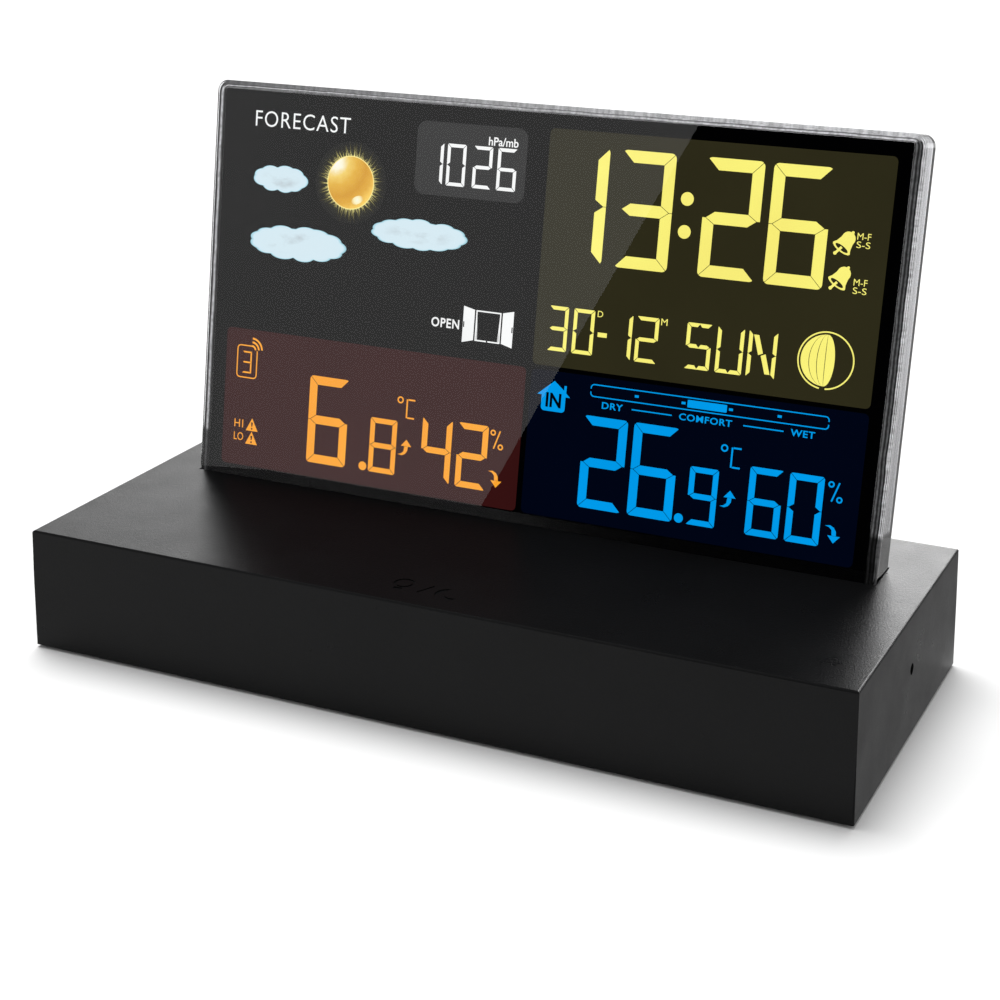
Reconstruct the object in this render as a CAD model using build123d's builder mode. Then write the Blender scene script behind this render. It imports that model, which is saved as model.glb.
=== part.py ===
"""Desktop weather station: a drafted base block with a leaning clear-edged display head.

Millimetres. The origin is the centre of the footprint on the surface that the feet stand on.
+X runs across the display, +Y points to the back and +Z points up.
"""

from build123d import *
import math
import os

# ---------------------------------------------------------------- driving dimensions
# base block
base_top_w = 210.0
base_top_d = 86.8
base_h = 30.6
base_draft = 1.93
foot_proud = 0.8
case_wall = 2.4
case_top = 2.6
edge_r = 0.6

# display head
lean = 10.1
head_front_y = 12.7
head_w = 185.7
head_h = 102.9
head_sunk = 1.3
head_r = 3.0
head_foot_t = 11.0
head_crown_t = 9.4
lens_t = 1.6
clear_wall = 1.5
print_w = 180.7
print_x = -0.4
print_low = 0.4
print_top = 100.9
film_t = 0.2
glass_t = 1.1

# rear keys
key_count = 6
key_pitch = 13.0
key_first_x = -72.0
key_z = 16.0
key_w = 9.4
key_h = 4.4
key_proud = 0.5
slot_gap = 0.3

# unit switch
switch_x = 9.0
switch_travel = 2.0

# battery bay
bay_x = 50.0
bay_y = 23.0
bay_w = 52.0
bay_d = 33.0
bay_h = 12.0
cell_d = 10.5
cell_len = 43.5
cell_pitch = 11.0
cell_count = 3

# boards and fittings
board_t = 1.6
board_z = 12.0
flex_x = -22.0
flex_w = 46.0
jack_x = -87.0
vent_r = 1.4
touch_y = -31.7
mark_y = -34.2

# ---------------------------------------------------------------- derived sizes
case_low = foot_proud
case_high = foot_proud + base_h
flare = 2 * base_h * math.tan(math.radians(base_draft))
base_low_w = base_top_w + flare
base_low_d = base_top_d + flare
plate_low = case_low + 0.2
plate_t = 2.4
plate_high = plate_low + plate_t
ceiling = case_high - case_top
seat_low = 25.0
lean_sin = math.sin(math.radians(lean))
lean_cos = math.cos(math.radians(lean))
tongue_x = 62.0
tongue_v = -8.5
tongue_w = 22.0
tongue_low = -12.0
tongue_front = 7.4
tongue_back = 10.4
bracket_points = [(-40, 31.8), (0, 31.8), (40, 31.8)]
boss_x = 98.0
boss_y = 37.0
foot_x = 86.0
foot_y = 34.0
post_points = [(-92, -30), (10, -30), (-92, 22), (10, 22)]
boss_points = [(-boss_x, -boss_y), (boss_x, -boss_y), (-boss_x, boss_y - 1), (boss_x, boss_y - 1)]
foot_points = [(-foot_x, -foot_y), (foot_x, -foot_y), (-foot_x, foot_y), (foot_x, foot_y)]
key_xs = [key_first_x + i * key_pitch for i in range(key_count)]
cell_ys = [bay_y + (i - 1) * cell_pitch for i in range(cell_count)]
cell_z = plate_high + 5.6

HEAD = Plane(origin=(0, head_front_y, case_high), x_dir=(1, 0, 0), z_dir=(0, -lean_cos, lean_sin))
back_lean = math.atan2(head_foot_t - head_crown_t, head_h)


def rear_y(z):
    """Outer face of the base's back wall at height z."""
    return base_top_d / 2 + (case_high - z) * math.tan(math.radians(base_draft))


def head_plane(depth):
    """Plane parallel to the display, the given depth behind its front face."""
    return HEAD.offset(-depth)


def head_point(x, v, depth):
    """Point of the head: x across, v up the lean from the base's top, depth behind the front."""
    return Vector(
        x,
        head_front_y + v * lean_sin + depth * lean_cos,
        case_high + v * lean_cos - depth * lean_sin,
    )


def head_slab(width, low, high, front, back, radius=0.0, x=0.0):
    """Sheet of the display stack between two heights and two depths."""
    with BuildPart() as slab:
        with BuildSketch(head_plane(front)):
            with Locations((x, (low + high) / 2)):
                if radius:
                    RectangleRounded(width, high - low, radius)
                else:
                    Rectangle(width, high - low)
        extrude(amount=-(back - front))
    return slab.part


def save(shape, name):
    """Label one finished piece and write it as its own STEP file."""
    shape.label = name
    export_step(shape, f"parts/{name}.step")


os.makedirs("parts", exist_ok=True)

# ================================================================ display head
# clear front plate, with a small bevel round its face
with BuildPart() as front_lens:
    add(head_slab(head_w, -head_sunk, head_h, 0, lens_t, head_r))
    chamfer(front_lens.faces().sort_by(Axis((0, 0, 0), HEAD.z_dir))[-1].edges(), 0.35)
save(front_lens.part, "front_lens")

# black border print on a film behind the front plate, with the display's window cut out
window_w = 174.4
window_low = 2.2
window_high = 98.4
glass_front = lens_t + film_t
with BuildPart() as mask_film:
    add(head_slab(print_w, print_low, print_top, lens_t, glass_front, 0.8, print_x))
    add(head_slab(window_w, window_low, window_high, lens_t, glass_front, 1.0, print_x), mode=Mode.SUBTRACT)
save(mask_film.part, "mask_film")

# liquid crystal cell: the rear glass is longer at the bottom, where the ribbon is bonded
cell_w = 178.6
cell_low = 0.6
cell_high = 100.2
ledge_h = 1.5
rear_glass_front = glass_front + glass_t
tray_front = rear_glass_front + glass_t
ribbon_depth = rear_glass_front - 0.16
ribbon_way_front = ribbon_depth - 0.5
ribbon_way_back = ribbon_depth + 5.0
ribbon_way_w = flex_w + 6.0
front_glass = head_slab(cell_w, cell_low + ledge_h, cell_high, glass_front, rear_glass_front, x=print_x)
save(front_glass, "lcd_front_glass")
rear_glass = head_slab(cell_w, cell_low, cell_high, rear_glass_front, tray_front, x=print_x)
save(rear_glass, "lcd_rear_glass")

# backlight stack in its tray
tray_w = 176.0
tray_low = 2.6
tray_high = 98.8
tray_wall = 1.2
tray_back_t = 0.7
tray_floor = tray_front + 3.0
film_w = tray_w - 2 * tray_wall - 0.6
film_low = tray_low + tray_wall + 0.3
film_high = tray_high - tray_wall - 0.3
guide_low = film_low + 4.6


def backlight_layer(name, low, high, front, thickness):
    """One layer of the backlight, its depth counted from the display's rear glass."""
    save(head_slab(film_w, low, high, tray_front + front, tray_front + front + thickness), name)


backlight_layer("colour_filter_film", film_low, film_high, 0.05, 0.2)
backlight_layer("diffuser_sheet", film_low, film_high, 0.3, 0.3)
backlight_layer("light_guide", guide_low, film_high, 0.65, 2.0)
backlight_layer("reflector_sheet", guide_low, film_high, 2.7, 0.2)
backlight_layer("backlight_board", film_low, film_low + 1.2, 0.7, 2.1)

led_count = 12
with BuildPart() as backlight_leds:
    with BuildSketch(head_plane(tray_front + 0.8)):
        with Locations((0, film_low + 2.1)):
            with GridLocations(film_w / led_count, 0, led_count, 1):
                Rectangle(3.5, 1.8)
    extrude(amount=-1.9)
save(backlight_leds.part, "backlight_leds")

with BuildPart() as display_tray:
    add(head_slab(tray_w, tray_low, tray_high, tray_front, tray_floor + tray_back_t, 1.5))
    pocket = head_slab(
        tray_w - 2 * tray_wall, tray_low + tray_wall, tray_high - tray_wall, tray_front, tray_floor, 0.6
    )
    add(pocket, mode=Mode.SUBTRACT)
save(display_tray.part, "display_tray")

# clear housing: a wedge shell open to the front, with two tongues that pass into the base
back_plane = Plane(
    origin=head_point(0, 0, head_foot_t),
    x_dir=(1, 0, 0),
    z_dir=(0, -math.cos(math.radians(lean) - back_lean), math.sin(math.radians(lean) - back_lean)),
)


def head_wedge(inset, front):
    """Wedge of the housing's outline, pulled in by inset on every side and at its back."""
    deep = head_foot_t + 2
    with BuildPart() as wedge:
        add(
            head_slab(
                head_w - 2 * inset, inset - head_sunk, head_h - inset, front, deep, max(head_r - inset, 0.8)
            )
        )
        split(bisect_by=back_plane.offset(inset), keep=Keep.TOP)
    return wedge.part


with BuildPart() as clear_housing:
    add(head_wedge(0.0, lens_t))
    back_face = clear_housing.faces().sort_by(Axis((0, 0, 0), back_plane.z_dir))[0]
    chamfer(back_face.edges(), 0.5)
    add(head_wedge(clear_wall, lens_t), mode=Mode.SUBTRACT)
    wall_top = clear_wall - head_sunk
    ribbon_slot = head_slab(ribbon_way_w, -head_sunk, wall_top, ribbon_way_front, ribbon_way_back, x=flex_x)
    add(ribbon_slot, mode=Mode.SUBTRACT)
    for side in (-1, 1):
        add(head_slab(tongue_w, tongue_low, wall_top, tongue_front, tongue_back, x=side * tongue_x))
    with BuildSketch(head_plane(tongue_front - 1)):
        with Locations((-tongue_x, tongue_v), (tongue_x, tongue_v)):
            Circle(1.6)
    extrude(amount=-6, mode=Mode.SUBTRACT)
save(clear_housing.part, "clear_housing")

# ribbon from the glass down into the base and forward to its socket
ribbon_z = board_z + board_t + 1.2
ribbon_top = head_point(0, cell_low + ledge_h - 0.4, ribbon_depth)
ribbon_drop = (ribbon_z - case_high + ribbon_depth * lean_sin) / lean_cos
ribbon_turn = head_point(0, ribbon_drop, ribbon_depth)
with BuildPart() as display_ribbon:
    with BuildSketch(Plane.YZ.offset(flex_x - flex_w / 2)):
        with BuildLine():
            FilletPolyline(
                (ribbon_top.Y, ribbon_top.Z),
                (ribbon_turn.Y, ribbon_turn.Z),
                (2.0, ribbon_z),
                radius=5,
            )
        trace(line_width=0.25)
    extrude(amount=flex_w)
save(display_ribbon.part, "display_ribbon")

# bracket that holds the tongues under the base's top, and its screws
bracket_w = 150.0
with BuildPart() as head_bracket:
    add(head_slab(bracket_w, tongue_low, -4.8, tongue_back + 0.15, tongue_back + 2.15))
    with BuildSketch(Plane.XY.offset(seat_low - 2.1)):
        with Locations((0, 28.45)):
            Rectangle(bracket_w, 12.1)
    extrude(amount=2)
    with BuildSketch(head_plane(tongue_back)):
        with Locations((-tongue_x, tongue_v), (tongue_x, tongue_v)):
            Circle(1.5)
    extrude(amount=-3, mode=Mode.SUBTRACT)
    with BuildSketch(Plane.XY.offset(seat_low - 3)):
        with Locations(*bracket_points):
            Circle(1.5)
    extrude(amount=4, mode=Mode.SUBTRACT)
save(head_bracket.part, "head_bracket")

with BuildPart() as bracket_screws:
    for x in (-tongue_x, tongue_x):
        with BuildSketch(head_plane(tongue_front - 1.9)):
            with Locations((x, tongue_v)):
                Circle(2.6)
        extrude(amount=-1.8)
        with BuildSketch(head_plane(tongue_front - 0.1)):
            with Locations((x, tongue_v)):
                Circle(1.4)
        extrude(amount=-6.5)
    with BuildSketch(Plane.XY.offset(seat_low - 4.0)):
        with Locations(*bracket_points):
            Circle(2.6)
    extrude(amount=1.8)
    with BuildSketch(Plane.XY.offset(seat_low - 2.2)):
        with Locations(*bracket_points):
            Circle(1.4)
    extrude(amount=4.4)
save(bracket_screws.part, "bracket_screws")

# ================================================================ base case
jack_z = 17.0
switch_slot_w = 3.2 + switch_travel + 2 * slot_gap
notch_w = bay_w + 4.6

with BuildPart() as base_case:
    with BuildSketch(Plane.XY.offset(case_low)):
        RectangleRounded(base_low_w, base_low_d, edge_r)
    extrude(amount=base_h, taper=base_draft)
    fillet(base_case.faces().sort_by(Axis.Z)[-1].edges(), edge_r)
    with BuildSketch(Plane.XY.offset(case_low)):
        Rectangle(base_low_w - 2 * case_wall, base_low_d - 2 * case_wall)
    extrude(amount=base_h - case_top, taper=base_draft, mode=Mode.SUBTRACT)
    # seat block under the head and screw bosses
    with BuildSketch(Plane.XY.offset(seat_low)):
        with Locations((0, 22.5)):
            Rectangle(198, 27)
    extrude(amount=ceiling - seat_low)
    with BuildSketch(Plane.XY.offset(plate_high)):
        with Locations(*boss_points):
            Circle(3.4)
    extrude(amount=ceiling - plate_high)
    with BuildSketch(Plane.XY.offset(plate_high)):
        with Locations(*boss_points):
            Circle(1.25)
    extrude(amount=14, mode=Mode.SUBTRACT)
    # leaning pocket for the head, with the ways through it for the tongues, ribbon and screws
    add(head_slab(head_w + 0.4, -head_sunk, 6, -0.15, head_foot_t + 0.6), mode=Mode.SUBTRACT)
    ribbon_way = head_slab(ribbon_way_w, tongue_low, 2, ribbon_way_front - 0.1, ribbon_way_back, x=flex_x)
    add(ribbon_way, mode=Mode.SUBTRACT)
    for side in (-1, 1):
        tongue_way = head_slab(
            tongue_w + 0.6, tongue_low, 2, tongue_front - 0.3, tongue_back + 0.3, x=side * tongue_x
        )
        add(tongue_way, mode=Mode.SUBTRACT)
    with BuildSketch(Plane.XY.offset(seat_low)):
        with Locations(*bracket_points):
            Circle(1.45)
    extrude(amount=4, mode=Mode.SUBTRACT)
    # openings in the back wall for the keys, the unit switch and the power inlet
    with BuildSketch(Plane.XZ.offset(-base_low_d / 2 - 1)):
        with Locations(*[(x, key_z) for x in key_xs]):
            RectangleRounded(key_w + 2 * slot_gap, key_h + 2 * slot_gap, 1.2)
        with Locations((switch_x, key_z)):
            RectangleRounded(switch_slot_w, 3.4, 0.6)
        with Locations((jack_x, jack_z)):
            Circle(4.1)
    extrude(amount=6, mode=Mode.SUBTRACT)
    # notch for the battery door's back lip
    with BuildSketch(Plane.XY.offset(case_low)):
        with Locations((bay_x, base_low_d / 2)):
            Rectangle(notch_w, 8)
    extrude(amount=plate_high - case_low, mode=Mode.SUBTRACT)
    # sensor vent in the right wall
    with BuildSketch(Plane.YZ.offset(base_low_w / 2 + 1)):
        with Locations((1.0, 17.6)):
            Circle(vent_r)
    extrude(amount=-6, mode=Mode.SUBTRACT)
    # shallow touch mark: lamp, slash and crescent
    with BuildSketch(Plane.XY.offset(case_high - 0.25)):
        with Locations((-6.2, mark_y + 1.2)):
            Circle(2.5)
            Circle(1.9, mode=Mode.SUBTRACT)
        with Locations((-6.2, mark_y - 2.1)):
            Rectangle(2.2, 1.0)
        with Locations((0, mark_y)):
            Rectangle(0.5, 5.2, rotation=-25)
        with Locations((6.0, mark_y - 0.5)):
            Circle(3.1)
        with Locations((7.4, mark_y + 0.5)):
            Circle(2.7, mode=Mode.SUBTRACT)
    extrude(amount=1, mode=Mode.SUBTRACT)
save(base_case.part, "base_case")

# ================================================================ base underside
door_gap = 0.3
lip_t = 0.9
door_w = bay_w
door_wide = bay_w + 4.0
door_front = bay_y - bay_d / 2 - 1.2

with BuildPart() as bottom_plate:
    with BuildSketch(Plane.XY.offset(plate_low)):
        Rectangle(base_low_w - 2 * case_wall - 0.6, base_low_d - 2 * case_wall - 0.6)
    extrude(amount=plate_t)
    # door opening, wider above so that the door's flanges run behind a lip
    with BuildSketch(Plane.XY.offset(plate_low)):
        with Locations((bay_x, door_front - door_gap + 25)):
            Rectangle(door_w + 2 * door_gap, 50)
    extrude(amount=plate_t, mode=Mode.SUBTRACT)
    with BuildSketch(Plane.XY.offset(plate_low + lip_t)):
        with Locations((bay_x, door_front - door_gap + 25)):
            Rectangle(door_wide + 2 * door_gap, 50)
    extrude(amount=plate_t - lip_t, mode=Mode.SUBTRACT)
    # posts under the main board
    with BuildSketch(Plane.XY.offset(plate_high)):
        with Locations(*post_points):
            Circle(3.0)
    extrude(amount=board_z - plate_high)
    # slotted ribs that hold the sensor board and the key board upright
    with BuildSketch(Plane.XY.offset(plate_high)):
        with Locations((98.1, -6.2), (98.1, 8.2)):
            Rectangle(4.6, 3.6)
        with Locations((-77, 31.9), (13, 31.9)):
            Rectangle(3.6, 5.2)
    extrude(amount=6)
    with BuildSketch(Plane.XY.offset(plate_high + 0.8)):
        with Locations((98.1, 1)):
            Rectangle(1.3, 14.2)
        with Locations((-32, 31.9)):
            Rectangle(90.4, board_t + 0.1)
    extrude(amount=6, mode=Mode.SUBTRACT)
    # screw holes, foot recesses and sound holes
    with BuildSketch(Plane.XY.offset(plate_low)):
        with Locations(*boss_points):
            Circle(1.7)
        with Locations(*post_points):
            Circle(1.1)
        with Locations((90, 16)):
            with PolarLocations(3.2, 6):
                Circle(0.8)
    extrude(amount=12, mode=Mode.SUBTRACT)
    with BuildSketch(Plane.XY.offset(plate_low)):
        with Locations(*boss_points):
            Circle(3.1)
        with Locations(*foot_points):
            Circle(5.2)
    extrude(amount=0.9, mode=Mode.SUBTRACT)
save(bottom_plate.part, "bottom_plate")

with BuildPart() as rubber_feet:
    with BuildSketch(Plane.XY):
        with Locations(*foot_points):
            Circle(5.0)
    extrude(amount=plate_low + 0.9)
    chamfer(rubber_feet.faces().group_by(Axis.Z)[0].edges(), 0.3)
save(rubber_feet.part, "rubber_feet")


def screw_group(points, seat, head_r, head_t, shank_r, length):
    """Screws with their heads' upper faces at seat, reaching up by length."""
    with BuildPart() as group:
        with BuildSketch(Plane.XY.offset(seat - head_t)):
            with Locations(*points):
                Circle(head_r)
                RegularPolygon(head_r * 0.45, 6, mode=Mode.SUBTRACT)
        extrude(amount=head_t * 0.6)
        with BuildSketch(Plane.XY.offset(seat - head_t * 0.4)):
            with Locations(*points):
                Circle(head_r)
        extrude(amount=head_t * 0.4)
        with BuildSketch(Plane.XY.offset(seat)):
            with Locations(*points):
                Circle(shank_r)
        extrude(amount=length)
    return group.part


save(screw_group(boss_points, plate_low + 0.9, 2.8, 0.8, 1.2, 12), "case_screws")

with BuildPart() as board_screws:
    with BuildSketch(Plane.XY.offset(board_z + board_t)):
        with Locations(*post_points):
            Circle(2.3)
            RegularPolygon(1.0, 6, mode=Mode.SUBTRACT)
    extrude(amount=1.2)
    with BuildSketch(Plane.XY.offset(board_z + board_t - 6)):
        with Locations(*post_points):
            Circle(1.05)
    extrude(amount=6.4)
save(board_screws.part, "board_screws")

with BuildPart() as ballast_plates:
    with BuildSketch(Plane.XY.offset(plate_high)):
        with Locations((-41, -28)):
            RectangleRounded(90, 20, 2)
        with Locations((54, -26)):
            RectangleRounded(72, 24, 2)
    extrude(amount=6)
save(ballast_plates.part, "ballast_plates")

# ================================================================ batteries
with BuildPart() as battery_bay:
    with BuildSketch(Plane.XY.offset(plate_high)):
        with Locations((bay_x, bay_y)):
            Rectangle(bay_w + 3, bay_d + 3)
    extrude(amount=bay_h + 1.5)
    with BuildSketch(Plane.XY.offset(plate_high)):
        with Locations((bay_x, bay_y)):
            Rectangle(bay_w + 10, bay_d + 3.4)
    extrude(amount=1.2)
    with BuildSketch(Plane.XY.offset(plate_high)):
        with Locations((bay_x, bay_y)):
            Rectangle(bay_w, bay_d)
    extrude(amount=bay_h, mode=Mode.SUBTRACT)
save(battery_bay.part, "battery_bay")

cell_low_x = bay_x - bay_w / 2 + 6.0
with BuildPart() as battery_cells:
    with BuildSketch(Plane.YZ.offset(cell_low_x)):
        with Locations(*[(y, cell_z) for y in cell_ys]):
            Circle(cell_d / 2)
    extrude(amount=cell_len)
    fillet(battery_cells.edges().filter_by(GeomType.CIRCLE), 0.5)
    with BuildSketch(Plane.YZ.offset(cell_low_x + cell_len)):
        with Locations(*[(y, cell_z) for y in cell_ys]):
            Circle(1.9)
    extrude(amount=1.0)
save(battery_cells.part, "battery_cells")

contact_low = bay_x - bay_w / 2 + 0.1
contact_high = bay_x + bay_w / 2 - 0.5
with BuildPart() as battery_contacts:
    for x in (contact_low, contact_high):
        with BuildSketch(Plane.YZ.offset(x)):
            with Locations(*[(y, cell_z) for y in cell_ys]):
                RectangleRounded(9.0, 8.4, 1.0)
        extrude(amount=0.4)
save(battery_contacts.part, "battery_contacts")


def coil(height, radius, turns, wire_r, plane, top_radius=None):
    """Wire coil that starts at the plane's origin and rises along its normal."""
    cone = 0.0
    if top_radius is not None:
        cone = math.degrees(math.atan2(top_radius - radius, height))
    path = plane * Helix(pitch=height / turns, height=height, radius=radius, cone_angle=cone)
    with BuildPart() as wire:
        with BuildLine():
            add(path)
        with BuildSketch(Plane(origin=path @ 0, z_dir=path % 0)):
            Circle(wire_r)
        sweep()
    return wire.part


spring_low = contact_low + 0.4 + 0.3
spring_len = cell_low_x - 0.3 - spring_low
battery_springs = Part() + [
    coil(spring_len, 3.4, 4, 0.25, Plane(origin=(spring_low, y, cell_z), x_dir=(0, 1, 0), z_dir=(1, 0, 0)), 2.0)
    for y in cell_ys
]
save(battery_springs, "battery_springs")

# sliding door: a plate between the lips, side flanges behind them and a lip in the back wall's notch
door_low = plate_low
door_back = rear_y(case_low + 1) - 0.1
with BuildPart() as battery_door:
    with BuildSketch(Plane.XY.offset(door_low)):
        with Locations((bay_x, (door_front + door_back) / 2)):
            Rectangle(door_w, door_back - door_front)
    extrude(amount=1.2)
    with BuildSketch(Plane.XY.offset(door_low + 1.2)):
        with Locations((bay_x, (door_front + door_back) / 2)):
            Rectangle(door_wide, door_back - door_front)
    extrude(amount=0.9)
    with BuildSketch(Plane.XY.offset(door_low)):
        with Locations((bay_x, door_back - 1.1)):
            Rectangle(door_wide, 2.2)
    extrude(amount=2.1)
    # grip grooves
    with BuildSketch(Plane.XY.offset(door_low)):
        with Locations((bay_x, door_back - 10)):
            with GridLocations(0, 2.4, 1, 4):
                Rectangle(18, 1.0)
    extrude(amount=0.5, mode=Mode.SUBTRACT)
save(battery_door.part, "battery_door")

# ================================================================ electronics
with BuildPart() as main_board:
    with BuildSketch(Plane.XY.offset(board_z)):
        with Locations((-41, -4)):
            RectangleRounded(110, 62, 2)
        with Locations(*post_points):
            Circle(1.3, mode=Mode.SUBTRACT)
    extrude(amount=board_t)
save(main_board.part, "main_board")

board_top = board_z + board_t


def board_block(name, x, y, width, depth, height, low=board_top, chamfered=0.3):
    """Moulded component standing on a board."""
    with BuildPart() as block:
        with BuildSketch(Plane.XY.offset(low)):
            with Locations((x, y)):
                Rectangle(width, depth)
        extrude(amount=height)
        chamfer(block.faces().sort_by(Axis.Z)[-1].edges(), chamfered)
    save(block.part, name)


def chip_with_legs(name, x, y, size, legs):
    """Square chip package with a row of legs on each side."""
    with BuildPart() as chip:
        with BuildSketch(Plane.XY.offset(board_top + 0.2)):
            with Locations((x, y)):
                Rectangle(size, size)
        extrude(amount=1.4)
        chamfer(chip.faces().sort_by(Axis.Z)[-1].edges(), 0.25)
        with BuildSketch(Plane.XY.offset(board_top)):
            with Locations((x, y)):
                with GridLocations(size * 0.85 / (legs - 1), size + 1.0, legs, 2):
                    Rectangle(0.35, 1.6)
                with GridLocations(size + 1.0, size * 0.85 / (legs - 1), 2, legs):
                    Rectangle(1.6, 0.35)
        extrude(amount=0.4)
    save(chip.part, name)


chip_with_legs("controller_chip", -62, -4, 12, 12)
chip_with_legs("display_driver_chip", -26, -14, 10, 10)
board_block("pressure_sensor", -4, -14, 4.4, 4.4, 1.6)
board_block("radio_module", -80, -20, 16, 11, 2.4)

# ribbon socket, open to the back
with BuildPart() as ribbon_socket:
    with BuildSketch(Plane.XY.offset(board_top)):
        with Locations((flex_x, 3.0)):
            Rectangle(flex_w + 5, 5.0)
    extrude(amount=2.4)
    with BuildSketch(Plane.XY.offset(ribbon_z - 0.25)):
        with Locations((flex_x, 4.0)):
            Rectangle(flex_w + 0.6, 4.4)
    extrude(amount=0.5, mode=Mode.SUBTRACT)
save(ribbon_socket.part, "ribbon_socket")

# receiver aerial wire, rising from the radio module and running across
aerial_r = 0.4
with BuildPart() as radio_aerial:
    with BuildLine():
        FilletPolyline((-86, -20, board_top + 2.4), (-86, -20, 22), (-30, -20, 22), radius=4)
    with BuildSketch(Plane.XY.offset(board_top + 2.4)):
        with Locations((-86, -20)):
            Circle(aerial_r)
    sweep()
save(radio_aerial.part, "radio_aerial")

# time signal antenna: ferrite rod, winding and two cradles
rod_r = 4.0
rod_y = -6.0
rod_z = plate_high + 9.0
rod_low_x = 28.0
rod_len = 56.0
with BuildPart() as ferrite_rod:
    with BuildSketch(Plane.YZ.offset(rod_low_x)):
        with Locations((rod_y, rod_z)):
            Circle(rod_r)
    extrude(amount=rod_len)
    chamfer(ferrite_rod.edges().filter_by(GeomType.CIRCLE), 0.4)
save(ferrite_rod.part, "ferrite_rod")

with BuildPart() as antenna_winding:
    with BuildSketch(Plane.YZ.offset(rod_low_x + 20)):
        with Locations((rod_y, rod_z)):
            Circle(rod_r + 0.9)
            Circle(rod_r, mode=Mode.SUBTRACT)
    extrude(amount=18)
save(antenna_winding.part, "antenna_winding")

with BuildPart() as antenna_cradles:
    for x in (rod_low_x + 5, rod_low_x + rod_len - 9):
        with BuildSketch(Plane.YZ.offset(x)):
            with Locations((rod_y, plate_high + 5)):
                Rectangle(12, 10)
            with Locations((rod_y, rod_z)):
                Circle(rod_r, mode=Mode.SUBTRACT)
        extrude(amount=4)
save(antenna_cradles.part, "antenna_cradles")

# air sensor on its upright board, in line with the vent
with BuildPart() as climate_board:
    with BuildSketch(Plane.YZ.offset(97.5)):
        with Locations((1.0, 13.6)):
            RectangleRounded(14, 18, 0.8)
    extrude(amount=1.2)
save(climate_board.part, "climate_board")

with BuildPart() as climate_sensor:
    with BuildSketch(Plane.YZ.offset(98.7)):
        with Locations((1.0, 17.6)):
            Rectangle(5, 5)
    extrude(amount=1.2)
    with BuildSketch(Plane.YZ.offset(99.4)):
        with Locations((1.0, 17.6)):
            Circle(1.2)
    extrude(amount=1, mode=Mode.SUBTRACT)
save(climate_sensor.part, "climate_sensor")

with BuildPart() as buzzer:
    with BuildSketch(Plane.XY.offset(plate_high)):
        with Locations((90, 16)):
            Circle(7)
    extrude(amount=6)
    fillet(buzzer.faces().sort_by(Axis.Z)[-1].edges(), 0.6)
save(buzzer.part, "buzzer")

# touch electrode under the mark, and the coil that joins it to the main board
electrode_z = ceiling - 0.3
with BuildPart() as touch_electrode:
    with BuildSketch(Plane.XY.offset(electrode_z)):
        with Locations((0, touch_y)):
            RectangleRounded(24, 12, 3)
    extrude(amount=0.3)
save(touch_electrode.part, "touch_electrode")

touch_coil_low = board_top + 0.3
touch_spring = coil(
    electrode_z - 0.3 - touch_coil_low, 2.4, 9, 0.3, Plane(origin=(0, touch_y, touch_coil_low))
)
save(touch_spring, "touch_spring")

# power inlet: a barrel socket with its centre pin
jack_back = rear_y(jack_z) - 0.3
with BuildPart() as dc_jack:
    with BuildSketch(Plane.XZ.offset(-(rear_y(jack_z) - case_wall - 0.4))):
        with Locations((jack_x, jack_z)):
            Rectangle(9.4, 10.4)
    extrude(amount=12)
    with BuildSketch(Plane.XZ.offset(-jack_back)):
        with Locations((jack_x, jack_z)):
            Circle(3.9)
    extrude(amount=5)
    with BuildSketch(Plane.XZ.offset(-jack_back)):
        with Locations((jack_x, jack_z)):
            Circle(3.0)
    extrude(amount=10, mode=Mode.SUBTRACT)
    with BuildSketch(Plane.XZ.offset(-(jack_back - 1.2))):
        with Locations((jack_x, jack_z)):
            Circle(1.0)
    extrude(amount=9.5)
save(dc_jack.part, "dc_jack")

# ================================================================ rear keys
key_board_front = 31.1
key_board_back = key_board_front + board_t
tact_back = key_board_back + 3.5
wall_inner = rear_y(key_z) - case_wall
flange_back = wall_inner - 0.75
flange_t = 1.0
post_front = tact_back + 1.2

with BuildPart() as key_board:
    with BuildSketch(Plane.XZ.offset(-key_board_back)):
        with Locations((-32, 12.4)):
            RectangleRounded(90, 15, 1)
    extrude(amount=board_t)
save(key_board.part, "key_board")

with BuildPart() as tact_switches:
    with BuildSketch(Plane.XZ.offset(-tact_back)):
        with Locations(*[(x, key_z) for x in key_xs]):
            Rectangle(6, 6)
    extrude(amount=3.5)
    with BuildSketch(Plane.XZ.offset(-tact_back)):
        with Locations(*[(x, key_z) for x in key_xs]):
            Circle(1.75)
    extrude(amount=1.8, mode=Mode.SUBTRACT)
save(tact_switches.part, "tact_switches")

key_names = ["key_time", "key_alarm", "key_up", "key_down", "key_channel", "key_memory"]
for name, x in zip(key_names, key_xs):
    with BuildPart() as key:
        # cap through the wall, with a soft front edge
        with BuildSketch(Plane.XZ.offset(-(rear_y(key_z) + key_proud))):
            with Locations((x, key_z)):
                RectangleRounded(key_w, key_h, 1.0)
        extrude(amount=rear_y(key_z) + key_proud - flange_back)
        fillet(key.faces().sort_by(Axis.Y)[-1].edges(), 0.5)
        # flange behind the wall and post to the switch
        with BuildSketch(Plane.XZ.offset(-flange_back)):
            with Locations((x, key_z)):
                RectangleRounded(key_w + 2.4, key_h + 2.4, 1.0)
        extrude(amount=flange_t)
        with BuildSketch(Plane.XZ.offset(-(flange_back - flange_t))):
            with Locations((x, key_z)):
                Circle(1.5)
        extrude(amount=flange_back - flange_t - post_front)
    save(key.part, name)
    with BuildPart() as plunger:
        with BuildSketch(Plane.XZ.offset(-post_front)):
            with Locations((x, key_z)):
                Circle(1.7)
        extrude(amount=2.3)
    save(plunger.part, name.replace("key_", "plunger_"))

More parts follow.
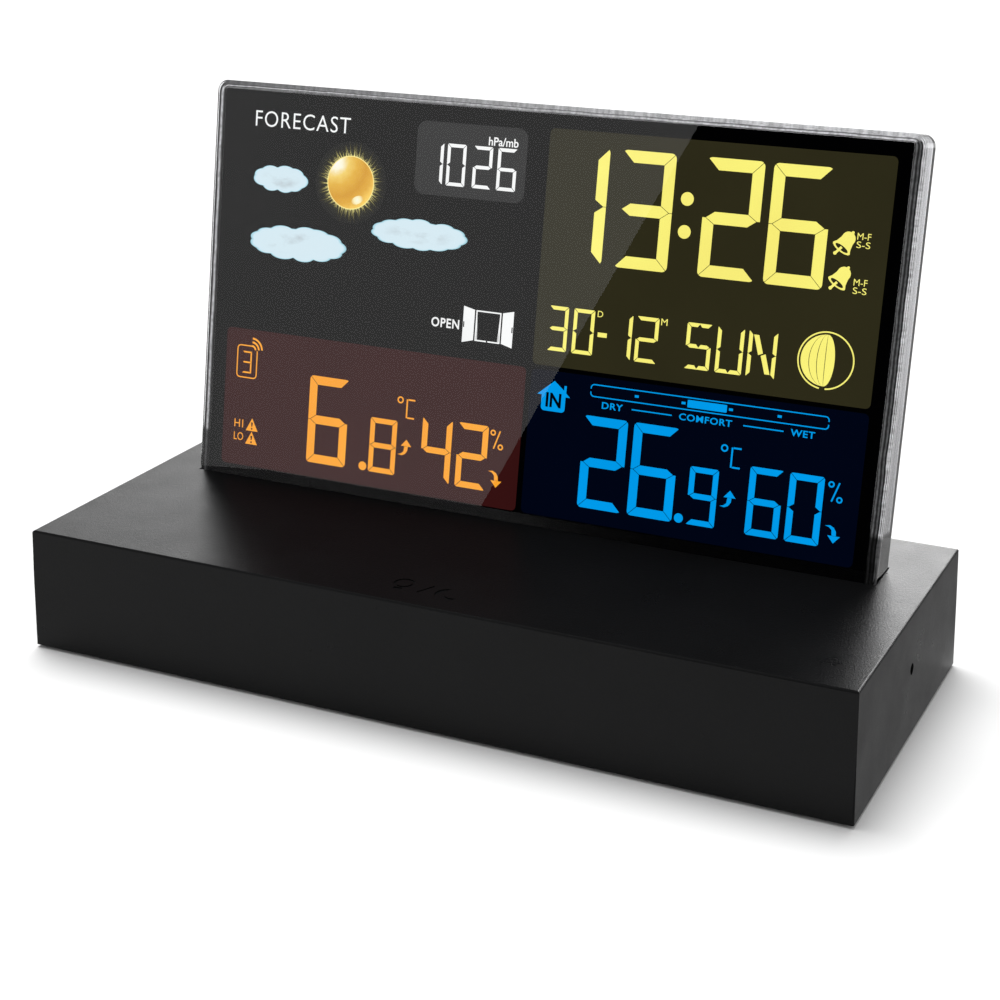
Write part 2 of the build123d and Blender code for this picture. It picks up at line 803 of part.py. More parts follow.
# slide switch for the temperature unit
switch_back = rear_y(key_z) - case_wall - 0.4
with BuildPart() as unit_switch_body:
    with BuildSketch(Plane.XZ.offset(-switch_back)):
        with Locations((switch_x, key_z)):
            Rectangle(9.6, 5.6)
    extrude(amount=switch_back - key_board_back)
    with BuildSketch(Plane.XZ.offset(-switch_back)):
        with Locations((switch_x, key_z)):
            Rectangle(3.2 + switch_travel + 2 * slot_gap, 2.6)
    extrude(amount=4, mode=Mode.SUBTRACT)
save(unit_switch_body.part, "unit_switch_body")

with BuildPart() as unit_switch_knob:
    with BuildSketch(Plane.XZ.offset(-(rear_y(key_z) - 0.3))):
        with Locations((switch_x - switch_travel / 2, key_z)):
            Rectangle(3.2, 2.0)
    extrude(amount=6)
    with BuildSketch(Plane.XZ.offset(-(rear_y(key_z) - 0.8))):
        with Locations((switch_x - switch_travel / 2, key_z)):
            with GridLocations(1.0, 0, 3, 1):
                Rectangle(0.35, 2.0)
    extrude(amount=-1, mode=Mode.SUBTRACT)
save(unit_switch_knob.part, "unit_switch_knob")
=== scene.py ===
"""Looks of the desktop weather station: display artwork, materials, studio and camera.

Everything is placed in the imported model's frame. Artwork sizes are in millimetres on the display's
face: x across from the print's centre, v up the lean from the base's top.
"""

import math
import random

import bmesh
import bpy
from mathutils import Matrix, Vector


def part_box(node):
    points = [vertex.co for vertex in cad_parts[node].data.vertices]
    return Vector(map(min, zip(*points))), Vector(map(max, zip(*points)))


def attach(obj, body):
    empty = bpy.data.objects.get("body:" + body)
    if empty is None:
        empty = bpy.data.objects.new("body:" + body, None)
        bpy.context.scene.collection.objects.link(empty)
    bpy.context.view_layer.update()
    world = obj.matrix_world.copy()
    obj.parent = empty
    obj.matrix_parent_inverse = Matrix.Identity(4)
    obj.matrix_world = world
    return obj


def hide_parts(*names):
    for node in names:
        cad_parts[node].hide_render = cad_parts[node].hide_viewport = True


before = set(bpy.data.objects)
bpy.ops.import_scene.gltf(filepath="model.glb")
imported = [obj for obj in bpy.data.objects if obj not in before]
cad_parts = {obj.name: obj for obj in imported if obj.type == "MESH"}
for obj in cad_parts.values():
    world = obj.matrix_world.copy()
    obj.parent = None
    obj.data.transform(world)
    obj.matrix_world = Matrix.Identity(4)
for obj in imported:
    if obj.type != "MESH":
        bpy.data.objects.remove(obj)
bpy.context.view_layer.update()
random.seed(7)

# sizes below are in millimetres, and times MM they are in metres
MM = 0.001

# ---------------------------------------------------------------- display face
LEAN = math.radians(10.1)
LENS_T, FILM_T, GLASS_T = 1.6, 0.2, 1.1
PRINT_DROP = 0.24
UP = Vector((0, math.sin(LEAN), math.cos(LEAN)))
OUT = Vector((0, -math.cos(LEAN), math.sin(LEAN)))

case_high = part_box("base_case")[1]
mask_low, mask_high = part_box("mask_film")
glass_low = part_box("lcd_front_glass")[0]
lens_low, lens_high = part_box("front_lens")

glass_edge = Vector(((mask_low.x + mask_high.x) / 2, glass_low.y, glass_low.z + GLASS_T * MM * UP.y))
front_face = glass_edge + OUT * (LENS_T + FILM_T) * MM
FACE = front_face - UP * ((front_face.z - case_high.z) / UP.z + PRINT_DROP * MM)
PRINT_W = (mask_high.x - mask_low.x) / MM

# artwork layers are bonded into the back of the front plate, each a hair in front of the last
LAYER_STEP = 0.03
INK_T = 0.02
BACKING, ZONE, INK, OVERLAY, DETAIL = range(5)


def face_point(x, v, depth):
    """Point on the display: x and v in millimetres, depth behind the plate's front face."""
    return FACE + Vector((x * MM, 0, 0)) + UP * (v * MM) - OUT * (depth * MM)


def layer_depth(layer):
    return LENS_T - LAYER_STEP * (layer + 1)


# ---------------------------------------------------------------- node helpers
def new_material(name):
    """New Principled material, its node tree and its shader node."""
    material = bpy.data.materials.new(name)
    material.use_nodes = True
    tree = material.node_tree
    shader = tree.nodes["Principled BSDF"]
    return material, tree, shader


def new_object(name, data):
    """Object with this data, linked into the scene."""
    made = bpy.data.objects.new(name, data)
    bpy.context.scene.collection.objects.link(made)
    return made


def add_node(tree, kind, **values):
    node = tree.nodes.new(kind)
    for key, value in values.items():
        setattr(node, key, value)
    return node


def object_place(tree):
    """Socket with the place in object space."""
    return add_node(tree, "ShaderNodeTexCoord").outputs["Object"]


def noise(tree, scale, detail=4.0, rough=0.55, stretch=(1, 1, 1), place=None):
    """Noise in object space, or at another place socket; returns the factor socket."""
    mapping = add_node(tree, "ShaderNodeMapping")
    mapping.inputs["Scale"].default_value = stretch
    texture = add_node(tree, "ShaderNodeTexNoise")
    texture.inputs["Scale"].default_value = scale
    texture.inputs["Detail"].default_value = detail
    texture.inputs["Roughness"].default_value = rough
    place = object_place(tree) if place is None else place
    tree.links.new(place, mapping.inputs["Vector"])
    tree.links.new(mapping.outputs["Vector"], texture.inputs["Vector"])
    return texture.outputs["Fac"]


def streaks(tree, scale, stretch):
    """Fine streaks that follow the lean of the head; returns the factor socket."""
    turn = add_node(tree, "ShaderNodeVectorRotate", rotation_type="X_AXIS")
    turn.inputs["Angle"].default_value = LEAN
    tree.links.new(object_place(tree), turn.inputs["Vector"])
    return noise(tree, scale, 3.0, 0.5, stretch, turn.outputs["Vector"])


def ramp(tree, source, stops):
    """Colour ramp over a factor; stops are (position, colour)."""
    node = add_node(tree, "ShaderNodeValToRGB")
    elements = node.color_ramp.elements
    while len(elements) < len(stops):
        elements.new(0.5)
    for element, (position, colour) in zip(elements, stops):
        element.position = position
        element.color = (*colour, 1.0)
    tree.links.new(source, node.inputs["Fac"])
    return node.outputs["Color"]


def spread(tree, source, low, high, from_low=0.3, from_high=0.7):
    """Maps a factor to a range of values."""
    node = add_node(tree, "ShaderNodeMapRange")
    node.inputs["From Min"].default_value = from_low
    node.inputs["From Max"].default_value = from_high
    node.inputs["To Min"].default_value = low
    node.inputs["To Max"].default_value = high
    tree.links.new(source, node.inputs["Value"])
    return node.outputs["Result"]


def combined(tree, operation, first, second):
    """Two factors put together by one operation of a Math node."""
    node = add_node(tree, "ShaderNodeMath", operation=operation)
    tree.links.new(first, node.inputs[0])
    tree.links.new(second, node.inputs[1])
    return node.outputs["Value"]


def attribute(tree, name):
    """Factor socket of a mesh attribute."""
    return add_node(tree, "ShaderNodeAttribute", attribute_name=name).outputs["Fac"]


def bump(tree, shader, height, strength, distance):
    node = add_node(tree, "ShaderNodeBump")
    node.inputs["Strength"].default_value = strength
    node.inputs["Distance"].default_value = distance
    tree.links.new(height, node.inputs["Height"])
    tree.links.new(node.outputs["Normal"], shader.inputs["Normal"])


def tinted(colour, factor):
    return tuple(min(1.0, c * factor) for c in colour)


# ---------------------------------------------------------------- materials
def plastic(name, colour, rough, grain=1400, depth=0.00003, strength=0.5, ior=1.46, vary=0.12):
    """Moulded plastic: spark-eroded grain with a patchy sheen."""
    material, tree, shader = new_material(name)
    fine = noise(tree, grain, 2, 0.7)
    mottle = noise(tree, 28, 3)
    base = ramp(tree, mottle, [(0.3, tinted(colour, 1 - vary)), (0.7, tinted(colour, 1 + vary))])
    tree.links.new(base, shader.inputs["Base Color"])
    tree.links.new(spread(tree, noise(tree, 90, 5), rough - 0.03, rough + 0.04), shader.inputs["Roughness"])
    shader.inputs["IOR"].default_value = ior
    bump(tree, shader, fine, strength, depth)
    return material


def clear(name, tint, rough, ior, ripple=0.0002):
    """Clear moulded acrylic with faint haze and flow ripple."""
    material, tree, shader = new_material(name)
    shader.inputs["Transmission Weight"].default_value = 1.0
    shader.inputs["IOR"].default_value = ior
    colour = ramp(tree, noise(tree, 35, 2), [(0.3, tint), (0.7, tinted(tint, 1.02))])
    tree.links.new(colour, shader.inputs["Base Color"])
    tree.links.new(spread(tree, noise(tree, 300, 4), rough, rough + 0.01), shader.inputs["Roughness"])
    bump(tree, shader, noise(tree, 60, 1, 0.4, (1, 1, 3)), 0.05, ripple)
    return material


def mixed(tree, factor, first, second, blend="MIX"):
    """Colour between two sockets by a factor socket or number."""
    node = add_node(tree, "ShaderNodeMix", data_type="RGBA", blend_type=blend)
    if isinstance(factor, float):
        node.inputs[0].default_value = factor
    else:
        tree.links.new(factor, node.inputs[0])
    tree.links.new(first, node.inputs[6])
    tree.links.new(second, node.inputs[7])
    return node.outputs[2]


def greys(*stops):
    """Ramp stops in neutral tones from (position, tone) pairs."""
    return [(position, (tone, tone, tone * 1.01)) for position, tone in stops]


def up_display(tree):
    """0 at the foot of the display and 1 at 100 mm up its lean."""
    along = add_node(tree, "ShaderNodeVectorMath", operation="DOT_PRODUCT")
    along.inputs[1].default_value = UP
    tree.links.new(object_place(tree), along.inputs[0])
    foot = FACE.dot(UP)
    return spread(tree, along.outputs["Value"], 0.0, 1.0, foot, foot + 100 * MM)


def clear_body(painted_shade_by_height):
    """Clear moulded shell with faint upright flow lines; its tint carries painted shade, darkest at the
    display's foot and paler further up.
    """
    material, tree, shader = new_material("clear_body")
    shader.inputs["Transmission Weight"].default_value = 1.0
    shader.inputs["IOR"].default_value = 1.46
    grain = streaks(tree, 500, (0.6, 1.0, 0.02))
    flow = ramp(tree, grain, greys((0.35, 0.93), (0.5, 0.985), (0.65, 1.0)))
    # painted shade: the tint by height darkens the shell at the display's foot
    colour = mixed(tree, 1.0, ramp(tree, up_display(tree), painted_shade_by_height), flow, "MULTIPLY")
    tree.links.new(colour, shader.inputs["Base Color"])
    tree.links.new(spread(tree, noise(tree, 300, 4), 0.0, 0.01), shader.inputs["Roughness"])
    return material


def liner_material(name, tones, painted_shade_by_height):
    """Moulded liner: fine upright streaks, with painted shade by height that keeps it near black at the
    display's foot and lighter further up, and a faint glow that is painted light.
    """
    material, tree, shader = new_material(name)
    grain = streaks(tree, 600, (0.05, 1.0, 0.02))
    colour = mixed(tree, 1.0, ramp(tree, grain, tones), ramp(tree, up_display(tree), painted_shade_by_height), "MULTIPLY")
    tree.links.new(colour, shader.inputs["Base Color"])
    # painted light: the liner glows faintly in its own colour
    tree.links.new(colour, shader.inputs["Emission Color"])
    shader.inputs["Emission Strength"].default_value = 0.15
    tree.links.new(spread(tree, grain, 0.25, 0.5), shader.inputs["Roughness"])
    bump(tree, shader, grain, 0.3, 0.00005)
    return material


def rim_material():
    """Band bonded behind the plate: its light and dark hairlines round its edge are painted reflections and
    refractions of the clear plate's edge, darkened at the foot as painted shade, and it glows faintly as
    painted light.
    """
    material, tree, shader = new_material("rim_painted_reflections")
    along = attribute(tree, "along")
    wander = spread(tree, noise(tree, 120, 5, 0.65), -0.06, 0.06)
    place = combined(tree, "ADD", attribute(tree, "across"), wander)
    left = ramp(tree, place, greys(
        (0.0, 0.05), (0.10, 0.04), (0.14, 0.015), (0.24, 0.02), (0.28, 0.34), (0.42, 0.62), (0.58, 0.58),
        (0.62, 0.10), (0.76, 0.10), (0.80, 0.004), (1.0, 0.004),
    ))
    top_left = ramp(tree, place, greys(
        (0.0, 0.04), (0.40, 0.05), (0.43, 0.002), (0.54, 0.002), (0.57, 0.85), (0.66, 0.80), (0.69, 0.0),
        (0.82, 0.0), (0.86, 0.22), (0.93, 0.20), (0.96, 0.004), (1.0, 0.004),
    ))
    top_right = ramp(tree, place, greys(
        (0.0, 0.75), (0.1, 0.68), (0.45, 0.72), (0.49, 0.22), (0.62, 0.24), (0.66, 0.78), (0.84, 0.74),
        (0.88, 0.16), (1.0, 0.12),
    ))
    right = ramp(tree, place, greys(
        (0.0, 0.72), (0.27, 0.72), (0.31, 0.015), (0.42, 0.02), (0.45, 0.12), (0.56, 0.12), (0.60, 0.02),
        (0.74, 0.03), (0.78, 0.16), (0.88, 0.14), (0.92, 0.03), (1.0, 0.03),
    ))
    top = mixed(tree, spread(tree, along, 0.0, 1.0, 1.0, 1.75), top_left, top_right)
    colour = mixed(tree, spread(tree, along, 0.0, 1.0, 0.97, 1.03), left, top)
    colour = mixed(tree, spread(tree, along, 0.0, 1.0, 1.97, 2.03), colour, right)
    # painted shade: the rim darkened at the display's foot
    foot = ramp(tree, up_display(tree), greys((0.0, 0.10), (0.108, 0.14), (0.116, 1.0)))
    colour = mixed(tree, 1.0, colour, foot, "MULTIPLY")
    grain = ramp(tree, noise(tree, 900, 3, 0.6), greys((0.35, 0.55), (0.65, 1.0)))
    colour = mixed(tree, 1.0, colour, grain, "MULTIPLY")
    tree.links.new(colour, shader.inputs["Base Color"])
    # painted light: the rim glows in its own colour
    tree.links.new(colour, shader.inputs["Emission Color"])
    shader.inputs["Emission Strength"].default_value = 0.55
    tree.links.new(spread(tree, noise(tree, 400, 3), 0.3, 0.45), shader.inputs["Roughness"])
    shader.inputs["Specular IOR Level"].default_value = 0.1
    return material


def metal(name, colour, rough, stretch=(1, 1, 1), grain=900):
    """Metal with a drawn or rolled grain."""
    material, tree, shader = new_material(name)
    shader.inputs["Metallic"].default_value = 1.0
    grain_height = noise(tree, grain, 3, 0.6, stretch)
    colours = ramp(tree, grain_height, [(0.3, tinted(colour, 0.82)), (0.7, colour)])
    tree.links.new(colours, shader.inputs["Base Color"])
    tree.links.new(spread(tree, noise(tree, 120, 4), rough - 0.06, rough + 0.1), shader.inputs["Roughness"])
    bump(tree, shader, grain_height, 0.25, 0.00002)
    return material


def board(name):
    """Circuit board: solder mask in a fine brick pattern with paler joints."""
    material, tree, shader = new_material(name)
    brick = add_node(tree, "ShaderNodeTexBrick")
    brick.inputs["Scale"].default_value = 180
    brick.inputs["Mortar Size"].default_value = 0.06
    brick.inputs["Color1"].default_value = (0.010, 0.085, 0.035, 1)
    brick.inputs["Color2"].default_value = (0.012, 0.10, 0.045, 1)
    brick.inputs["Mortar"].default_value = (0.03, 0.17, 0.07, 1)
    tree.links.new(object_place(tree), brick.inputs["Vector"])
    tree.links.new(brick.outputs["Color"], shader.inputs["Base Color"])
    tree.links.new(spread(tree, noise(tree, 200, 3), 0.28, 0.4), shader.inputs["Roughness"])
    bump(tree, shader, brick.outputs["Fac"], 0.3, 0.00004)
    return material


def wound(name, colour, pitch):
    """Fine enamelled wire laid side by side along X."""
    material, tree, shader = new_material(name)
    wave = add_node(tree, "ShaderNodeTexWave", bands_direction="X")
    wave.inputs["Scale"].default_value = 1 / pitch
    wave.inputs["Distortion"].default_value = 0.4
    tree.links.new(object_place(tree), wave.inputs["Vector"])
    colours = ramp(tree, wave.outputs["Fac"], [(0.1, tinted(colour, 0.3)), (0.6, colour)])
    tree.links.new(colours, shader.inputs["Base Color"])
    shader.inputs["Metallic"].default_value = 0.9
    tree.links.new(spread(tree, wave.outputs["Fac"], 0.45, 0.25, 0, 1), shader.inputs["Roughness"])
    bump(tree, shader, wave.outputs["Fac"], 0.6, 0.0001)
    return material


def backlight(tree, shader, colour):
    """Matt finish without gloss that glows in a socket's colour."""
    shader.inputs["Roughness"].default_value = 0.6
    shader.inputs["Specular IOR Level"].default_value = 0.0
    shader.inputs["Emission Strength"].default_value = 1.0
    tree.links.new(colour, shader.inputs["Emission Color"])


def ink(name, colour, vary=0.04):
    """Backlit print: an even glow with slight mottle, on a matt dark film."""
    material, tree, shader = new_material(name)
    low, high = tinted(colour, 1 - vary), tinted(colour, 1 + vary)
    backlight(tree, shader, ramp(tree, noise(tree, 45, 3), [(0.35, low), (0.65, high)]))
    grain = ramp(tree, noise(tree, 2500, 2), [(0.3, tinted(colour, 0.03)), (0.7, tinted(colour, 0.06))])
    tree.links.new(grain, shader.inputs["Base Color"])
    return material


CASE_BLACK = (0.0055, 0.0056, 0.0059)
MATERIALS = {
    "case_plastic": plastic("case_black", CASE_BLACK, 0.30, 2500, 0.00006, 1.0, 1.2),
    "key_plastic": plastic("key_grey_black", (0.012, 0.012, 0.013), 0.42, 1800, 0.00002, 0.4),
    "foot_rubber": plastic("foot_rubber", (0.02, 0.02, 0.021), 0.75, 700, 0.00006, 0.7),
    "clear_acrylic": clear("clear_acrylic", (0.985, 0.99, 0.99), 0.0, 1.46, 0.00002),
    "display_glass": clear("display_glass", (0.80, 0.86, 0.84), 0.0, 1.5),
    "film": plastic("optical_film", (0.62, 0.63, 0.64), 0.45, 500, 0.00001, 0.2),
    "light_guide": clear("light_guide", (0.9, 0.93, 0.95), 0.1, 1.5),
    "reflector": plastic("reflector_white", (0.82, 0.83, 0.84), 0.5, 900, 0.00001, 0.2),
    "inner_plastic": plastic("inner_white", (0.66, 0.67, 0.68), 0.5, 900, 0.00003, 0.4),
    "black_print": ink("mask_black", (0.0004, 0.0004, 0.0005)),
    "circuit_board": board("circuit_board"),
    "led": ink("led_white", (0.9, 0.92, 0.95)),
    "ribbon": plastic("ribbon_amber", (0.30, 0.14, 0.03), 0.35, 400, 0.00001, 0.3),
    "steel_plate": metal("steel_plate", (0.50, 0.50, 0.49), 0.42, (1, 8, 1)),
    "screw_steel": metal("screw_steel", (0.42, 0.42, 0.43), 0.3),
    "spring_steel": metal("spring_steel", (0.62, 0.61, 0.58), 0.25),
    "sensor_can": metal("sensor_can", (0.66, 0.64, 0.58), 0.35),
    "cell_jacket": plastic("cell_jacket", (0.05, 0.16, 0.13), 0.25, 300, 0.00001, 0.2),
    "chip_plastic": plastic("chip_black", (0.018, 0.018, 0.02), 0.5, 1500, 0.00003, 0.5),
    "copper": wound("winding_copper", (0.55, 0.22, 0.08), 0.0004),
    "ferrite": plastic("ferrite_grey", (0.05, 0.05, 0.052), 0.6, 500, 0.00008, 0.6),
}


# ---------------------------------------------------------------- flat shapes, in millimetres
def arc(cx, cy, radius, start, end, steps=6):
    """Points on an arc between two angles in degrees."""
    angles = [math.radians(start + (end - start) * i / steps) for i in range(steps + 1)]
    return [(cx + radius * math.cos(a), cy + radius * math.sin(a)) for a in angles]


def disc(cx, cy, radius, steps=40):
    return arc(cx, cy, radius, 0, 360 - 360 / steps, steps - 1)


def ring(cx, cy, radius, line, steps=48):
    """Closed band round a centre."""
    return (disc(cx, cy, radius + line / 2, steps), disc(cx, cy, radius - line / 2, steps))


def arc_band(cx, cy, radius, line, start, end, steps=14):
    """Open band along an arc."""
    outer = arc(cx, cy, radius + line / 2, start, end, steps)
    inner = arc(cx, cy, radius - line / 2, end, start, steps)
    return outer + inner


def box(x0, v0, x1, v1, r=0.0, steps=6):
    """Rectangle, with rounded corners where r is given."""
    if not r:
        return [(x0, v0), (x1, v0), (x1, v1), (x0, v1)]
    return (
        arc(x1 - r, v1 - r, r, 0, 90, steps)
        + arc(x0 + r, v1 - r, r, 90, 180, steps)
        + arc(x0 + r, v0 + r, r, 180, 270, steps)
        + arc(x1 - r, v0 + r, r, 270, 360, steps)
    )


def frame_band(x0, v0, x1, v1, r, line):
    """Closed rounded band of a given line width."""
    return (box(x0, v0, x1, v1, r), box(x0 + line, v0 + line, x1 - line, v1 - line, max(r - line, 0.05)))


def bar(ax, ay, bx, by, line):
    """Straight stroke between two points."""
    length = math.hypot(bx - ax, by - ay)
    nx, ny = -(by - ay) / length * line / 2, (bx - ax) / length * line / 2
    return [(ax + nx, ay + ny), (ax - nx, ay - ny), (bx - nx, by - ny), (bx + nx, by + ny)]


def moved(shape, cx, cy, scale=1.0, turn=0.0):
    """Shape scaled, turned by degrees and moved to a centre."""
    c, s = math.cos(math.radians(turn)) * scale, math.sin(math.radians(turn)) * scale
    return [(cx + x * c - y * s, cy + x * s + y * c) for x, y in shape]


def inset(shape, d):
    """Convex outline pulled in by d on every side."""
    n = len(shape)
    area = sum(shape[i][0] * shape[(i + 1) % n][1] - shape[(i + 1) % n][0] * shape[i][1] for i in range(n))
    sign = 1 if area > 0 else -1
    lines = []
    for (ax, ay), (bx, by) in zip(shape, shape[1:] + shape[:1]):
        length = math.hypot(bx - ax, by - ay)
        ux, uy = (bx - ax) / length, (by - ay) / length
        lines.append((ax - uy * d * sign, ay + ux * d * sign, ux, uy))
    result = []
    for i in range(n):
        px, py, ux, uy = lines[i - 1]
        qx, qy, wx, wy = lines[i]
        cross = ux * wy - uy * wx
        if abs(cross) < 1e-6:
            result.append((qx, qy))
            continue
        t = ((qx - px) * wy - (qy - py) * wx) / cross
        result.append((px + ux * t, py + uy * t))
    return result


# ---------------------------------------------------------------- mesh building
def shapes_to_bmesh(bm, shapes, place, front, back):
    """Adds closed plates; a shape is an outline, or a pair of outlines that bound a band."""
    for shape in shapes:
        loops = shape if isinstance(shape, tuple) else (shape,)
        fronts = [[bm.verts.new(place(x, v, front)) for x, v in loop] for loop in loops]
        backs = [[bm.verts.new(place(x, v, back)) for x, v in loop] for loop in loops]
        count = len(loops[0])
        if len(loops) == 1:
            bm.faces.new(fronts[0])
            bm.faces.new(list(reversed(backs[0])))
        else:
            for i in range(count):
                j = (i + 1) % count
                bm.faces.new((fronts[0][i], fronts[0][j], fronts[1][j], fronts[1][i]))
                bm.faces.new((backs[0][j], backs[0][i], backs[1][i], backs[1][j]))
        for ahead, behind in zip(fronts, backs):
            for i in range(count):
                j = (i + 1) % count
                bm.faces.new((ahead[i], ahead[j], behind[j], behind[i]))


def add_piece(name, mesh, material, body="base"):
    mesh.materials.append(material)
    piece = new_object(name, mesh)
    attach(piece, body)
    return piece


def mesh_from(bm, name):
    bmesh.ops.recalc_face_normals(bm, faces=bm.faces)
    mesh = bpy.data.meshes.new(name)
    bm.to_mesh(mesh)
    bm.free()
    return mesh


def printed(name, shapes, material, layer=INK, words=()):
    """One printed piece of the display: plates and words of one colour on one layer."""
    bm = bmesh.new()
    depth = layer_depth(layer)
    shapes_to_bmesh(bm, shapes, face_point, depth, depth + INK_T)
    for word in words:
        add_word(bm, depth, **word)
    piece = add_piece(name, mesh_from(bm, name), material)
    dim_in_reflections(piece, layer)
    return piece


def dim_in_reflections(piece, layer):
    """Lit artwork throws no colour on the base; the dark backing and zones still reflect in it."""
    if layer > ZONE:
        piece.visible_glossy = False
        piece.visible_diffuse = False


def add_word(bm, depth, text, x0, x1, v0, v1, weight=0.0, spacing=1.0):
    """Word in plain capitals, fitted between two x and two v, on a layer."""
    curve = bpy.data.curves.new("word", "FONT")
    curve.body = text
    curve.size = 1.0
    curve.offset = weight
    curve.space_character = spacing
    curve.resolution_u = 4
    curve.extrude = 0.5
    holder = new_object("word", curve)
    graph = bpy.context.evaluated_depsgraph_get()
    mesh = bpy.data.meshes.new_from_object(holder.evaluated_get(graph))
    bpy.data.objects.remove(holder)
    xs = [v.co.x for v in mesh.vertices]
    ys = [v.co.y for v in mesh.vertices]
    wide, tall = max(xs) - min(xs), max(ys) - min(ys)
    left, low = min(xs), min(ys)
    for vertex in mesh.vertices:
        x = x0 + (vertex.co.x - left) / wide * (x1 - x0)
        v = v0 + (vertex.co.y - low) / tall * (v1 - v0)
        vertex.co = face_point(x, v, depth + (0.5 - vertex.co.z) * INK_T)
    first = len(bm.verts)
    bm.from_mesh(mesh)
    bm.verts.ensure_lookup_table()
    bmesh.ops.remove_doubles(bm, verts=bm.verts[first:], dist=1e-7)
    bpy.data.meshes.remove(mesh)


# ---------------------------------------------------------------- segment digits
SEGMENTS = {
    "0": "abcdef", "1": "bc", "2": "abged", "3": "abgcd", "4": "fgbc",
    "5": "afgcd", "6": "afgedc", "8": "abcdefg", "9": "abcdfg",
}
HAIRLINE = 0.13


def digit(mark, x0, v0, x1, v1, stroke, hairline=HAIRLINE):
    """Seven-segment mark between two corners, its segments mitred where they meet."""
    middle = (v0 + v1) / 2
    r = 0.45 * stroke
    tip = 0.28 * stroke

    def across(points):
        return [(x0 + x1 - x, v) for x, v in points]

    def over(points):
        return [(x, v0 + v1 - v) for x, v in points]

    top = (
        [(x0 + stroke, v1 - stroke)]
        + arc(x0 + r, v1 - r, r, 135, 90, 3)
        + arc(x1 - r, v1 - r, r, 90, 45, 3)
        + [(x1 - stroke, v1 - stroke)]
    )
    side = [
        (x0 + stroke, v1 - stroke),
        (x0 + stroke, middle + stroke / 2),
        (x0 + tip, middle),
        (x0, middle),
    ] + arc(x0 + r, v1 - r, r, 180, 135, 3)
    centre = [
        (x0 + tip, middle),
        (x0 + stroke, middle + stroke / 2),
        (x1 - stroke, middle + stroke / 2),
        (x1 - tip, middle),
        (x1 - stroke, middle - stroke / 2),
        (x0 + stroke, middle - stroke / 2),
    ]
    parts = {
        "a": top, "d": over(top), "f": side, "b": across(side),
        "e": over(side), "c": across(over(side)), "g": centre,
    }
    return [inset(parts[letter], hairline / 2) for letter in SEGMENTS[mark]]


def number(marks, v0, v1, stroke, hairline=HAIRLINE):
    """Row of digits; marks are (mark, x0, x1)."""
    shapes = []
    for mark, x0, x1 in marks:
        shapes += digit(mark, x0, v0, x1, v1, stroke, hairline)
    return shapes


# ---------------------------------------------------------------- print colours
WHITE = ink("print_white", (0.92, 0.93, 0.93))
YELLOW = ink("print_yellow", (1.0, 0.90, 0.20))
ORANGE = ink("print_orange", (1.0, 0.385, 0.030))
BLUE = ink("print_blue", (0.0, 0.33, 0.84))
BLACK = ink("print_black", (0.0004, 0.0004, 0.0005))
OLIVE = ink("zone_olive", (0.0260, 0.0235, 0.0100))
MAROON = ink("zone_maroon", (0.036, 0.0060, 0.0060))
NAVY = ink("zone_navy", (0.0004, 0.0016, 0.0075))
GREY = ink("zone_grey", (0.028, 0.028, 0.0285))
INDOOR_INK = ink("print_house_dark", (0.0006, 0.0012, 0.003))

# ---------------------------------------------------------------- display zones
LEFT_COLUMN = (-86.4, 0.5)
RIGHT_COLUMN = (2.0, 87.1)
ROW_SPLIT = 40.0
PANEL_LOW, PANEL_HIGH = 3.0, 97.75
BLACK_LOW, BLACK_HIGH = -0.85, 101.14
ZONE_R = 1.25


def make_zones():
    mask = box(-PRINT_W / 2, BLACK_LOW, PRINT_W / 2, BLACK_HIGH, 0.6)
    backing = printed("mask_print", [mask], BLACK, BACKING)
    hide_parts("mask_film")
    clock = box(RIGHT_COLUMN[0], ROW_SPLIT + 0.5, RIGHT_COLUMN[1], PANEL_HIGH, ZONE_R)
    outdoor = box(LEFT_COLUMN[0], PANEL_LOW, LEFT_COLUMN[1], ROW_SPLIT - 0.6, ZONE_R)
    indoor = box(RIGHT_COLUMN[0], PANEL_LOW, RIGHT_COLUMN[1], ROW_SPLIT - 0.6, ZONE_R)
    printed("zone_clock", [clock], OLIVE, ZONE)
    printed("zone_outdoor", [outdoor], MAROON, ZONE)
    printed("zone_indoor", [indoor], NAVY, ZONE)
    printed("zone_pressure", [box(-33.9, 79.0, -3.75, 97.0, 2.5)], GREY, ZONE)


# ---------------------------------------------------------------- clock and date
def bell(cx, cy, size):
    """Tilted alarm bell: body, dark mouth, rim and clapper, as (light, dark, rim) shapes."""
    dome = (
        [(-0.50, 0.0), (-0.40, 0.16), (-0.33, 0.42)]
        + arc(0, 0.55, 0.33, 170, 10, 10)
        + [(0.33, 0.42), (0.40, 0.16), (0.50, 0.0)]
        + [(0.50 * math.cos(a), -0.17 * math.sin(a)) for a in (math.pi * i / 12 for i in range(1, 12))]
    )
    knob = disc(0, 0.90, 0.07, 12)
    mouth = [(0.36 * math.cos(a), 0.01 + 0.11 * math.sin(a)) for a in (math.tau * i / 24 for i in range(24))]
    clapper = bar(-0.02, 0.05, -0.10, -0.34, 0.12)
    ball = disc(-0.11, -0.36, 0.085, 14)
    turn = -32

    def put(shape):
        return moved(shape, cx, cy, size, turn)

    return [put(dome), put(knob)], [put(mouth)], [put(clapper), put(ball)]


